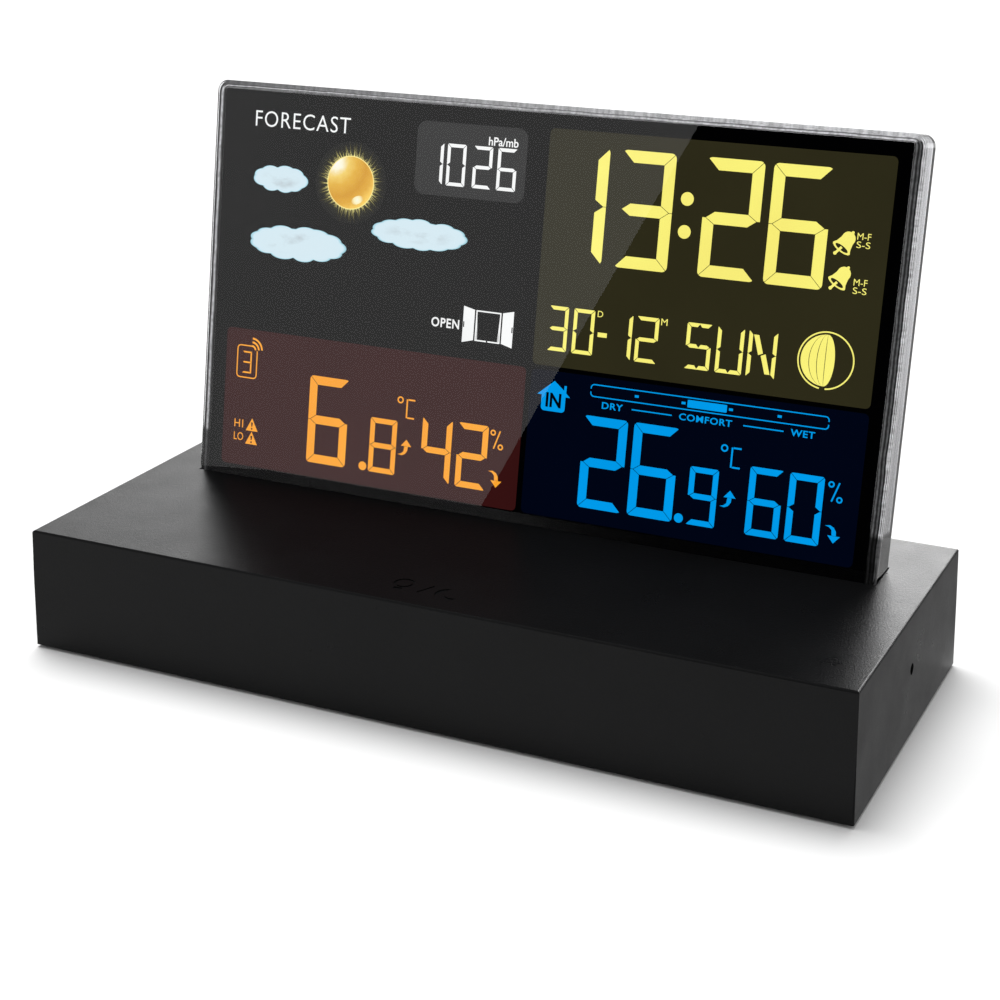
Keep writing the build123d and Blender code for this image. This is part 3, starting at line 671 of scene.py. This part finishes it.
def make_clock():
    v0, v1 = 66.25, 94.2
    marks = [("1", 4.4, 18.0), ("3", 21.1, 34.8), ("2", 42.3, 56.5), ("6", 58.5, 72.8)]
    colon = [disc(38.25, 84.0, 1.6), disc(38.25, 76.3, 1.6)]
    printed("clock_digits", number(marks, v0, v1, 3.0) + colon, YELLOW)
    day_v0, day_v1 = 44.3, 55.4
    day = [("3", 5.5, 10.7), ("0", 12.0, 17.6), ("1", 20.4, 27.5), ("2", 28.4, 34.2)]
    dash = [box(18.6, 49.1, 21.0, 50.2)]
    words = [
        dict(text="D", x0=18.2, x1=19.6, v0=53.9, v1=55.4),
        dict(text="M", x0=34.6, x1=36.2, v0=53.8, v1=55.4),
    ]
    printed("date_digits", number(day, day_v0, day_v1, 1.06) + dash, YELLOW, words=words)
    make_weekday(day_v0, day_v1, 1.06)


def make_weekday(v0, v1, stroke):
    """Weekday in starburst segments, with the notches that such segments leave."""
    middle = (v0 + v1) / 2
    letters = digit("5", 41.2, v0, 47.6, v1, stroke)
    u0, u1 = 48.9, 55.6
    letters += [shape for i, shape in enumerate(digit("0", u0, v0, u1, v1, stroke)) if i != 0]
    n0, n1 = 56.6, 63.7
    letters += [shape for i, shape in enumerate(digit("0", n0, v0, n1, v1, stroke)) if i in (1, 2, 4, 5)]
    slope = 1.25
    inner0, inner1 = n0 + stroke + 0.15, n1 - stroke - 0.15
    centre = (n0 + n1) / 2
    for edge, v, way in ((inner0, v1 - stroke, 1), (inner1, v0 + stroke, -1)):
        near, far = (centre + way * 0.25, middle + way * 0.3), (centre - way * 0.9, middle - way * 0.2)
        letters.append([(edge, v), (edge + way * slope, v), near, far])
    printed("weekday_letters", letters, YELLOW)
    notch = 0.62

    def cut(x, v, way):
        return [(x - notch, v), (x + notch, v), (x, v + way * stroke * 0.75)]

    notches = [
        cut(44.4, v1 - stroke, 1), cut(44.4, v0 + stroke, -1), cut(44.4, middle + stroke / 2, -1),
        cut((u0 + u1) / 2, v0 + stroke, -1),
    ]
    printed("weekday_notches", notches, OLIVE, OVERLAY)


def make_alarms():
    light, dark, clappers = [], [], []
    words = []
    for cx, cy, left, v in ((77.6, 77.3, 79.7, 76.7), (77.4, 69.3, 80.0, 66.3)):
        body, mouth, clapper = bell(cx - 1.3, cy - 1.0, 4.9)
        light += body
        dark += mouth
        clappers += clapper
        words += [
            dict(text="M-F", x0=left, x1=left + 3.2, v0=v + 1.9, v1=v + 3.4),
            dict(text="S-S", x0=left, x1=left + 3.2, v0=v, v1=v + 1.5),
        ]
    printed("alarm_bells", light, YELLOW, words=words)
    printed("alarm_mouths", dark, OLIVE, OVERLAY)
    printed("alarm_clappers", clappers, YELLOW, DETAIL)


def make_moon():
    cx, cy, radius, inner = 75.5, 50.35, 6.6, 6.0
    steps = 24

    def edge(half_width, start, end):
        """Meridian of the disc: an ellipse arc from pole to pole."""
        angles = [math.radians(start + (end - start) * i / steps) for i in range(steps + 1)]
        return [(cx + half_width * math.sin(a), cy + inner * math.cos(a)) for a in angles]

    lit = edge(-inner, 180, 0)[1:-1] + edge(2.1, 0, 180)
    rim = arc_band(cx, cy, radius, 0.34, -86, 262, 60)
    printed("moon_phase", [lit, rim], YELLOW)
    lines = []
    for half_width in (-4.0, -2.1, -0.15):
        ahead = edge(half_width + 0.07, 8, 172)
        behind = edge(half_width - 0.07, 172, 8)
        lines.append(ahead + behind)
    printed("moon_meridians", lines, OLIVE, OVERLAY)


# ---------------------------------------------------------------- small signs
def percent(cx, cy, wide, tall, line):
    r = wide * 0.17
    return [
        ring(cx - wide / 2 + r, cy + tall / 2 - r, r, line, 20),
        ring(cx + wide / 2 - r, cy - tall / 2 + r, r, line, 20),
        bar(cx - wide * 0.22, cy - tall / 2, cx + wide * 0.24, cy + tall / 2, line),
    ]


def degree_c(x0, v0, x1, v1, line, ring_x, ring_v, ring_r):
    stem = box(x0, v0 + 0.12, x0 + line, v1 - 0.12)
    return [
        ring(ring_x, ring_v, ring_r, line * 0.9, 24), stem,
        box(x0 + line + 0.08, v1 - line, x1, v1), box(x0 + line + 0.08, v0, x1, v0 + line),
    ]


def rising_arrow(cx, cy, way):
    """Curved trend arrow; way is 1 for rising and -1 for falling."""
    tail = [(-1.9, -1.9), (-0.9, -1.62), (-0.25, -1.0), (-0.1, 0.3), (0.95, 0.3), (0.85, -0.75),
            (0.25, -1.65), (-0.7, -2.1)]
    head = [(-1.1, 0.35), (1.95, 0.35), (0.42, 2.1)]
    return [[(cx + x, cy + way * y) for x, y in shape] for shape in (tail, head)]


def readings(big, small, humidity, unit_x, colour, name):
    """Temperature with its decimal, unit and trend, and humidity digits."""
    shapes = number(big, 6.75, 29.8, 2.4) + number(small, 6.9, 21.25, 1.5)
    shapes += number(humidity, 6.75, 23.4, 1.72)
    shapes.append(disc(unit_x - 9.85, 8.1, 1.15))
    shapes += degree_c(unit_x + 1.75, 22.1, unit_x + 4.2, 27.2, 0.42, unit_x, 26.7, 0.72)
    shapes += rising_arrow(unit_x + 2.0, 14.6, 1)
    printed(name, shapes, colour)


def make_outdoor():
    humidity = [("4", -27.0, -18.4), ("2", -16.9, -8.3)]
    readings([("6", -60.5, -48.7)], [("8", -42.0, -34.1)], humidity, -33.7, ORANGE, "outdoor_readings")
    shapes = percent(-6.0, 20.2, 3.4, 4.6, 0.38) + rising_arrow(-5.8, 10.2, -1)
    shapes.append(frame_band(-83.1, 26.4, -76.8, 35.2, 1.1, 0.32))
    shapes += digit("3", -81.4, 27.7, -78.5, 33.6, 0.5, 0.08)
    warnings = (12.5, 8.9)
    shapes += [[(-79.3, v), (-75.6, v), (-77.45, v + 3.4)] for v in warnings]
    words = [
        dict(text="HI", x0=-82.9, x1=-80.2, v0=13.1, v1=15.2, spacing=1.15),
        dict(text="LO", x0=-82.9, x1=-80.0, v0=9.6, v1=11.7),
    ]
    printed("outdoor_signs", shapes, ORANGE, words=words)
    marks = []
    for v in warnings:
        marks.append([(-77.75, v + 2.3), (-77.15, v + 2.3), (-77.32, v + 1.15), (-77.58, v + 1.15)])
        marks.append(disc(-77.45, v + 0.6, 0.25, 12))
    marks.append(box(-78.55, 33.9, -76.6, 35.4))
    printed("outdoor_cutouts", marks, MAROON, OVERLAY)
    waves = [arc_band(-78.6, 34.0, radius, 0.5, 5, 88, 10) for radius in (1.1, 2.1, 3.1)]
    printed("outdoor_waves", waves, ORANGE, DETAIL)


def make_indoor():
    whole = [("2", 16.9, 28.6), ("6", 30.1, 41.9)]
    humidity = [("6", 60.2, 68.6), ("0", 70.0, 78.5)]
    readings(whole, [("9", 45.3, 52.7)], humidity, 53.4, BLUE, "indoor_readings")
    shapes = percent(81.2, 20.2, 3.4, 4.6, 0.38) + rising_arrow(81.5, 10.2, -1)
    walls = arc(6.1, 30.3, 0.9, 180, 270, 4) + arc(10.7, 30.3, 0.9, 270, 360, 4) + [(11.6, 33.3)]
    roof = [(12.8, 33.3), (11.7, 34.3), (11.7, 36.1), (11.1, 36.1), (11.1, 34.9), (8.4, 37.0), (4.0, 33.3)]
    shapes.append([(5.2, 33.3), (5.2, 30.3)] + walls + roof)
    gap = 1.4
    low, high, left, right, line, r = 34.4, 37.6, 18.0, 78.0, 0.28, 1.0
    middle = (low + high) / 2
    for side, centre, start in ((left, left + r, 180), (right, right - r, 0)):
        way = 1 if side == left else -1
        upper = arc_band(centre, high - r, r - line / 2, line, start, 90, 6)
        lower = arc_band(centre, low + r, r - line / 2, line, start, 270 if side == left else -90, 6)
        shapes += [upper, lower]
        inner = side + way * line
        for v0, v1 in ((low + r, middle - gap / 4), (middle + gap / 4, high - r)):
            shapes.append(box(min(side, inner), v0, max(side, inner), v1))
    shapes += [box(left + r, high - line, right - r, high), box(left + r, low, right - r, low + line)]
    shapes.append(box(43.1, 35.1, 53.0, 36.95, 0.2))
    shapes += [box(x - 0.5, 35.7, x + 0.5, 36.3) for x in (30.1, 42.1, 54.0, 66.0)]
    shapes += [box(29.1, 32.5, 39.4, 32.8), box(57.4, 32.5, 67.3, 32.8)]
    words = [
        dict(text="DRY", x0=21.3, x1=26.8, v0=31.85, v1=33.5, weight=0.018, spacing=1.1),
        dict(text="COMFORT", x0=41.3, x1=54.6, v0=31.85, v1=33.5, weight=0.018, spacing=1.1),
        dict(text="WET", x0=69.0, x1=74.9, v0=31.85, v1=33.5, weight=0.018, spacing=1.1),
    ]
    printed("indoor_signs", shapes, BLUE, words=words)
    inside = [dict(text="IN", x0=6.4, x1=10.5, v0=30.4, v1=34.0, weight=0.03)]
    printed("indoor_house_word", [], INDOOR_INK, OVERLAY, words=inside)


# ---------------------------------------------------------------- forecast
def make_pressure():
    marks = [("1", -31.5, -26.2), ("0", -25.3, -20.0), ("2", -18.1, -12.8), ("6", -11.5, -6.2)]
    words = [dict(text="hPa/mb", x0=-14.2, x1=-6.2, v0=92.3, v1=94.4, weight=0.015)]
    printed("pressure_digits", number(marks, 81.6, 92.0, 0.98), WHITE, words=words)


def make_window_sign():
    frame_outer = frame_band(-14.2, 44.2, -7.3, 51.9, 0.05, 0.34)
    left = [(-17.7, 52.6), (-14.6, 51.9), (-14.6, 44.3), (-17.7, 43.5)]
    right = [(-6.9, 51.9), (-3.9, 52.6), (-3.9, 43.5), (-6.9, 44.3)]
    hinges = [bar(-14.0, 51.7, -13.6, 44.4, 0.16), bar(-7.5, 51.7, -7.9, 44.4, 0.16)]
    words = [dict(text="OPEN", x0=-26.5, x1=-18.7, v0=46.5, v1=48.9, weight=0.02, spacing=1.12)]
    printed("window_sign", [frame_outer, left, right] + hinges, WHITE, words=words)
    handles = [box(-17.6, 47.3, -17.3, 48.7), box(-4.3, 47.3, -4.0, 48.7), box(-11.0, 44.1, -10.6, 44.6)]
    printed("window_handles", handles, BLACK, OVERLAY)
    title = [dict(text="FORECAST", x0=-80.95, x1=-53.0, v0=92.1, v1=96.1, weight=-0.004, spacing=1.1)]
    printed("forecast_title", [], WHITE, words=title)


def radial(tree, centre, radius):
    """0 at a point of the display and 1 at a radius from it."""
    away = add_node(tree, "ShaderNodeVectorMath", operation="DISTANCE")
    away.inputs[1].default_value = centre
    tree.links.new(object_place(tree), away.inputs[0])
    return spread(tree, away.outputs["Value"], 0.0, 1.0, 0.0, radius * MM)


def glowing(name, centre, radius, stops, mottle=0.0):
    """Backlit print whose colour follows the distance from a point."""
    material, tree, shader = new_material(name)
    factor = radial(tree, centre, radius)
    if mottle:
        factor = combined(tree, "ADD", factor, spread(tree, noise(tree, 700, 3), -mottle, mottle))
    backlight(tree, shader, ramp(tree, factor, stops))
    shader.inputs["Base Color"].default_value = (0.01, 0.01, 0.01, 1)
    return material


def make_sun():
    cx, cy, radius = -52.0, 80.0, 6.75
    middle = face_point(cx, cy, LENS_T)
    halo = glowing("sun_halo", middle, radius * 1.55, [
        (0.0, (0.30, 0.26, 0.08)), (0.62, (0.075, 0.065, 0.018)), (0.74, (0.018, 0.016, 0.005)),
        (0.88, (0.004, 0.004, 0.002)), (1.0, (0.0004, 0.0004, 0.0005)),
    ], 0.02)
    printed("sun_halo", [disc(cx, cy, radius * 1.52, 72)], halo, ZONE)
    rays = glowing("sun_rays", middle, radius * 1.6, [
        (0.0, (1.0, 0.9, 0.4)), (0.62, (0.95, 0.85, 0.30)), (0.78, (0.35, 0.30, 0.08)),
        (1.0, (0.02, 0.018, 0.005)),
    ])
    spikes = []
    count, foot = 170, radius - 0.3
    for i in range(count):
        turn = 360 * (i + random.uniform(-0.35, 0.35)) / count
        length = random.uniform(0.6, 4.4) * random.uniform(0.4, 1.0)
        lean = random.uniform(-7, 7)
        base = math.radians(turn)
        tip = math.radians(turn + lean)
        half = random.uniform(0.006, 0.013)
        corners = ((foot, base - half), (foot, base + half), (radius + length, tip))
        spikes.append([(cx + far * math.cos(a), cy + far * math.sin(a)) for far, a in corners])
    printed("sun_rays", spikes, rays, INK)
    bright = face_point(cx - 4.6, cy + 4.9, LENS_T)
    face = glowing("sun_face", bright, 13.0, [
        (0.0, (1.0, 0.99, 0.94)), (0.14, (1.0, 0.96, 0.74)), (0.28, (0.92, 0.66, 0.16)),
        (0.46, (0.80, 0.46, 0.055)), (0.68, (0.70, 0.34, 0.028)), (0.84, (0.78, 0.42, 0.045)),
        (1.0, (1.0, 0.66, 0.13)),
    ], 0.03)
    printed("sun_face", [disc(cx, cy, radius, 72)], face, OVERLAY)
    rim = ink("sun_rim", (1.0, 0.82, 0.30))
    printed("sun_rim", [ring(cx, cy, radius - 0.12, 0.24, 72)], rim, DETAIL)
    glint = (cx + 2.2, cy - 4.2)
    shine = glowing("sun_glint", face_point(*glint, LENS_T), 1.9, [
        (0.0, (1.0, 0.98, 0.80)), (0.5, (1.0, 0.90, 0.50)), (1.0, (0.80, 0.44, 0.05)),
    ])
    oval = moved([(1.75 * x, y) for x, y in disc(0, 0, 1.0, 32)], *glint, 1.0, 25)
    printed("sun_glint", [oval], shine, DETAIL)


def puffs(count, seed):
    """Overlapping puffs round a cloud's rim, as (x, y, half width, half height) in half sizes."""
    draw = random.Random(seed)
    lobes = [(0.0, 0.0, 0.86, 0.80)]
    for i in range(count):
        a = math.tau * (i + draw.uniform(-0.22, 0.22)) / count
        size = draw.uniform(0.85, 1.15)
        wide, tall = 3.2 / count * size, 4.6 / count * size
        lobes.append(((0.99 - wide) * math.cos(a), (0.97 - tall) * math.sin(a), wide, tall))
    return lobes


def cloud_edge(wide, tall, lobes, steps=192):
    """Outline of overlapping puffs about the cloud's own centre."""
    points = []
    for i in range(steps):
        c, s = math.cos(math.tau * i / steps), math.sin(math.tau * i / steps)
        reach = 0.0
        for x, y, half_w, half_h in lobes:
            a = (c / half_w) ** 2 + (s / half_h) ** 2
            b = c * x / half_w ** 2 + s * y / half_h ** 2
            inside = b * b - a * ((x / half_w) ** 2 + (y / half_h) ** 2 - 1)
            if inside > 0:
                reach = max(reach, (b + math.sqrt(inside)) / a)
        points.append((wide / 2 * c * reach, tall / 2 * s * reach))
    return points


def cloud_material():
    """Pale cloud: bluish towards its rim, with grey wisps near its middle."""
    material, tree, shader = new_material("print_cloud")
    rim = attribute(tree, "rim")
    body = ramp(tree, rim, [
        (0.0, (0.68, 0.83, 0.90)), (0.45, (0.66, 0.83, 0.91)), (0.75, (0.42, 0.70, 0.80)),
        (1.0, (0.26, 0.50, 0.58)),
    ])
    wisp = spread(tree, noise(tree, 190, 5, 0.6, (0.45, 1, 1)), 0.0, 0.55, 0.52, 0.68)
    core = spread(tree, rim, 1.0, 0.0, 0.0, 0.10)
    mix = add_node(tree, "ShaderNodeMix", data_type="RGBA")
    mix.inputs[7].default_value = (0.42, 0.47, 0.50, 1.0)
    tree.links.new(combined(tree, "MULTIPLY", wisp, core), mix.inputs[0])
    tree.links.new(body, mix.inputs[6])
    backlight(tree, shader, mix.outputs[2])
    shader.inputs["Base Color"].default_value = (0.01, 0.012, 0.013, 1)
    return material


def make_cloud(name, cx, cy, wide, tall, count, seed, material):
    """Cloud plate with a gently domed face; an attribute runs from 0 in its middle to 1 at its rim."""
    outline = cloud_edge(wide, tall, puffs(count, seed))
    levels = [(1.0, 1.0, 0.0), (0.97, 0.7, 0.3), (0.92, 0.35, 0.6), (0.82, 0.12, 0.85), (0.45, 0.0, 1.0)]
    depth = layer_depth(INK)
    bm = bmesh.new()
    rim_layer = bm.verts.layers.float.new("rim")
    rings = []
    for scale, rim, rise in levels:
        row = []
        for x, y in outline:
            vert = bm.verts.new(face_point(cx + x * scale, cy + y * scale, depth - rise * INK_T))
            vert[rim_layer] = rim
            row.append(vert)
        rings.append(row)
    floor_row = []
    for x, y in outline:
        vert = bm.verts.new(face_point(cx + x, cy + y, depth + INK_T))
        vert[rim_layer] = 1.0
        floor_row.append(vert)
    rings.insert(0, floor_row)
    count = len(outline)
    for low, high in zip(rings, rings[1:]):
        for i in range(count):
            j = (i + 1) % count
            bm.faces.new((low[i], low[j], high[j], high[i]))
    bm.faces.new(rings[-1])
    bm.faces.new(list(reversed(rings[0])))
    piece = add_piece(name, mesh_from(bm, name), material)
    dim_in_reflections(piece, INK)


def make_forecast():
    material = cloud_material()
    make_cloud("cloud_upper_left", -72.6, 79.2, 16.6, 7.2, 9, 21, material)
    make_cloud("cloud_lower_left", -66.6, 63.1, 29.3, 9.4, 13, 5, material)
    make_cloud("cloud_right", -31.7, 68.8, 27.6, 8.0, 13, 8, material)
    make_sun()
    make_pressure()
    make_window_sign()


make_zones()
make_clock()
make_alarms()
make_moon()
make_outdoor()
make_indoor()
make_forecast()

# ---------------------------------------------------------------- rim and liner of the clear head
WALL = 1.5
CAVITY_LOW = 0.65
HEAD_R = 3.0
PRINT_X = (mask_low.x + mask_high.x) / 2 / MM
HEAD_LEFT = lens_low.x / MM - PRINT_X
HEAD_RIGHT = lens_high.x / MM - PRINT_X
HEAD_TOP = (lens_high.z - case_high.z) / MM / UP.z + PRINT_DROP
LINER_FRONT = LENS_T + 0.4


def arch(left, right, top, low, line):
    """Band that runs up the left side, across the top and down the right, as one outline."""
    return [
        (left, low), (left, top), (right, top), (right, low),
        (right - line, low), (right - line, top - line), (left + line, top - line), (left + line, low),
    ]


def tapered_point(x, v, depth):
    """Point behind the display, pulled forward up the lean as the housing's back is."""
    return face_point(x, v, LINER_FRONT + (depth - LINER_FRONT) * (1 - 0.22 * v / HEAD_TOP))


def make_liner():
    """Light liner along the inside of the clear sides and top, with a dark seam down its middle."""
    clearance = WALL + 0.12
    left, right, top = HEAD_LEFT + clearance, HEAD_RIGHT - clearance, HEAD_TOP - clearance
    # painted shade on the liner: near black up to the display's foot band, lighter further up
    painted_shade_by_height = greys((0.0, 0.01), (0.108, 0.02), (0.116, 0.62), (0.5, 0.95), (0.9, 1.0))
    wall = liner_material("liner_wall", greys((0.32, 0.62), (0.5, 0.90), (0.68, 1.0)), painted_shade_by_height)
    seam = liner_material("liner_seam", greys((0.3, 0.22), (0.7, 0.42)), painted_shade_by_height)
    for name, outline, front, back, material in (
        ("liner_wall", arch(left, right, top, CAVITY_LOW, 0.25), LINER_FRONT, 9.1, wall),
        ("liner_seam", arch(left - 0.04, right + 0.04, top + 0.04, CAVITY_LOW, 0.2), 5.6, 5.95, seam),
    ):
        bm = bmesh.new()
        shapes_to_bmesh(bm, [outline], tapered_point, front, back)
        add_piece(name, mesh_from(bm, name), material)


def rim_line(left, right, top, r, steps=6):
    """Points up the left, over the top and down the right, each with how far along it is."""
    points = [(left, BLACK_LOW, 0.0)]
    for x0, start, at in ((left + r, 180, 0.9), (right - r, 90, 1.9)):
        corner = arc(x0, top - r, r, start, start - 90, steps)
        points += [(x, v, at + 0.2 * i / steps) for i, (x, v) in enumerate(corner)]
    return points + [(right, BLACK_LOW, 3.0)]


def make_rim():
    """Thin bonded band between the black print and the plate's outer edge, which carries the rim's painted
    reflections.
    """
    margin = 0.12
    outer = rim_line(HEAD_LEFT + margin, HEAD_RIGHT - margin, HEAD_TOP - margin, HEAD_R)
    inner = rim_line(-PRINT_W / 2 - 0.02, PRINT_W / 2 + 0.02, BLACK_HIGH + 0.02, 0.6)
    depth = layer_depth(BACKING)
    bm = bmesh.new()
    across_layer = bm.verts.layers.float.new("across")
    along_layer = bm.verts.layers.float.new("along")
    rows = []
    for line, across in ((outer, 0.0), (inner, 1.0)):
        for lift in (0.0, INK_T):
            row = []
            for x, v, along in line:
                vert = bm.verts.new(face_point(x, v, depth + lift))
                vert[across_layer] = across
                vert[along_layer] = along
                row.append(vert)
            rows.append(row)
    outer_front, outer_back, inner_front, inner_back = rows
    for i in range(len(outer) - 1):
        j = i + 1
        around = (outer_front, inner_front, inner_back, outer_back, outer_front)
        for near, far in zip(around, around[1:]):
            bm.faces.new((near[i], near[j], far[j], far[i]))
    for i in (0, len(outer) - 1):
        bm.faces.new((outer_front[i], inner_front[i], inner_back[i], outer_back[i]))
    add_piece("rim_band", mesh_from(bm, "rim_band"), rim_material())


make_liner()
make_rim()

# ---------------------------------------------------------------- finishes on the CAD nodes
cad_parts["front_lens"].visible_glossy = False
for name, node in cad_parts.items():
    slot_name = node.data.materials[0].name.split(".")[0]
    node.data.materials[0] = MATERIALS[slot_name]
# painted shade for the clear shell: near black at the display's foot, paler further up
body_painted_shade = greys((0.0, 0.04), (0.108, 0.05), (0.116, 0.62), (0.5, 0.82), (1.0, 0.95))
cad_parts["clear_housing"].data.materials[0] = clear_body(body_painted_shade)


# ---------------------------------------------------------------- studio
def stage_material(name, colour):
    """Pale seamless floor with a barely visible mottle."""
    material, tree, shader = new_material(name)
    mottled = ramp(tree, noise(tree, 6, 4), [(0.3, tinted(colour, 0.985)), (0.7, colour)])
    tree.links.new(mottled, shader.inputs["Base Color"])
    shader.inputs["Roughness"].default_value = 0.9
    shader.inputs["Specular IOR Level"].default_value = 0.1
    return material


def make_floor():
    bm = bmesh.new()
    bmesh.ops.create_grid(bm, x_segments=8, y_segments=8, size=6.0)
    mesh = mesh_from(bm, "studio_floor")
    mesh.materials.append(stage_material("studio_floor", (0.93, 0.93, 0.93)))
    new_object("studio_floor", mesh)


def make_card(name, corners, strength, fade=None):
    """Glowing card that only glossy reflections see; its strength may fade along x."""
    bm = bmesh.new()
    bm.faces.new([bm.verts.new(corner) for corner in corners])
    mesh = mesh_from(bm, name)
    material, tree, shader = new_material(name)
    shader.inputs["Base Color"].default_value = (0, 0, 0, 1)
    shader.inputs["Specular IOR Level"].default_value = 0.0
    shader.inputs["Emission Color"].default_value = (1, 1, 1, 1)
    shader.inputs["Emission Strength"].default_value = strength
    if fade:
        split = add_node(tree, "ShaderNodeSeparateXYZ")
        tree.links.new(object_place(tree), split.inputs["Vector"])
        (x0, strength0), (x1, strength1) = fade
        glow = spread(tree, split.outputs["X"], strength0, strength1, x0, x1)
        tree.links.new(glow, shader.inputs["Emission Strength"])
    mesh.materials.append(material)
    card = new_object(name, mesh)
    for ray in ("camera", "diffuse", "transmission", "shadow", "volume_scatter"):
        setattr(card, "visible_" + ray, False)


def make_key_light(direction, strength, spread_angle):
    """Broad soft light from one direction, not seen in reflections."""
    light = bpy.data.lights.new("key", "SUN")
    light.energy = strength
    light.angle = math.radians(spread_angle)
    holder = new_object("key", light)
    holder.rotation_euler = Vector(direction).to_track_quat("Z", "Y").to_euler()
    holder.visible_glossy = False
    holder.visible_transmission = False


def make_camera():
    camera = bpy.data.cameras.new("camera")
    camera.sensor_width = 36.0
    camera.lens = 71.129
    camera.clip_start = 0.01
    holder = new_object("camera", camera)
    holder.location = (0.19553, -0.40460, 0.21097)
    holder.rotation_euler = (math.radians(69.3625), 0, math.radians(25.4843))
    bpy.context.scene.camera = holder
    return holder


def mirrored(point):
    """Point mirrored in the display's front face."""
    return point - 2 * (point - FACE).dot(OUT) * OUT


def card_edge(eye, x, v, y):
    """Where the ray that the display mirrors at (x, v) crosses the upright plane at y, as (x, z)."""
    on_face = face_point(x, v, 0)
    way = on_face - eye
    reach = (y - eye.y) / way.y
    hit = eye + way * reach
    return hit.x, hit.z


def make_reflections(camera):
    """A dark and a bright card in front, so that a clean slanting sheen lies across the display."""
    eye = mirrored(camera.location)
    y = -0.50
    foot = card_edge(eye, -10.0, 0.0, y)
    crown = card_edge(eye, 39.6, 101.0, y)
    slope = (crown[0] - foot[0]) / (crown[1] - foot[1])

    def edge(z):
        return foot[0] + slope * (z - foot[1]), z

    def upright(corners):
        return [(x, y, z) for x, z in corners]

    low, high, right, left = 0.0015, 0.30, 0.30, -0.75
    make_card("reflection_dark", upright([edge(low), (right, low), (right, high), edge(high)]), 0.0)
    make_flag()
    make_card("reflection_bright", upright([(left, low), edge(low), edge(high), (left, high)]), 0.92)


def make_flag():
    """Dark card on the floor beside the base, which keeps the floor's glare off the base's side."""
    x0, x1, y0, y1, z = 0.108, 0.60, -0.10, 0.90, 0.0006
    make_card("reflection_flag", [(x0, y0, z), (x1, y0, z), (x1, y1, z), (x0, y1, z)], 0.40)


def make_backdrop():
    """Bright card high behind, fading to the left, which gives the sheen on the base's top."""
    x0, x1, y, z0, z1 = -1.4, 0.5, 1.2, 0.25, 0.9
    corners = [(x0, y, z0), (x1, y, z0), (x1, y, z1), (x0, y, z1)]
    make_card("reflection_behind", corners, 1.0, ((-0.97, 2.8), (-0.15, 10.0)))


def make_world(strength):
    world = bpy.data.worlds.new("studio")
    world.use_nodes = True
    background = world.node_tree.nodes["Background"]
    background.inputs["Color"].default_value = (1.0, 1.0, 1.0, 1.0)
    background.inputs["Strength"].default_value = strength
    bpy.context.scene.world = world


camera = make_camera()
make_world(0.45)
make_floor()
make_reflections(camera)
make_backdrop()
make_key_light((-0.25, 0.24, 1.0), 2.8, 38)
bpy.context.scene.view_settings.view_transform = "Standard"
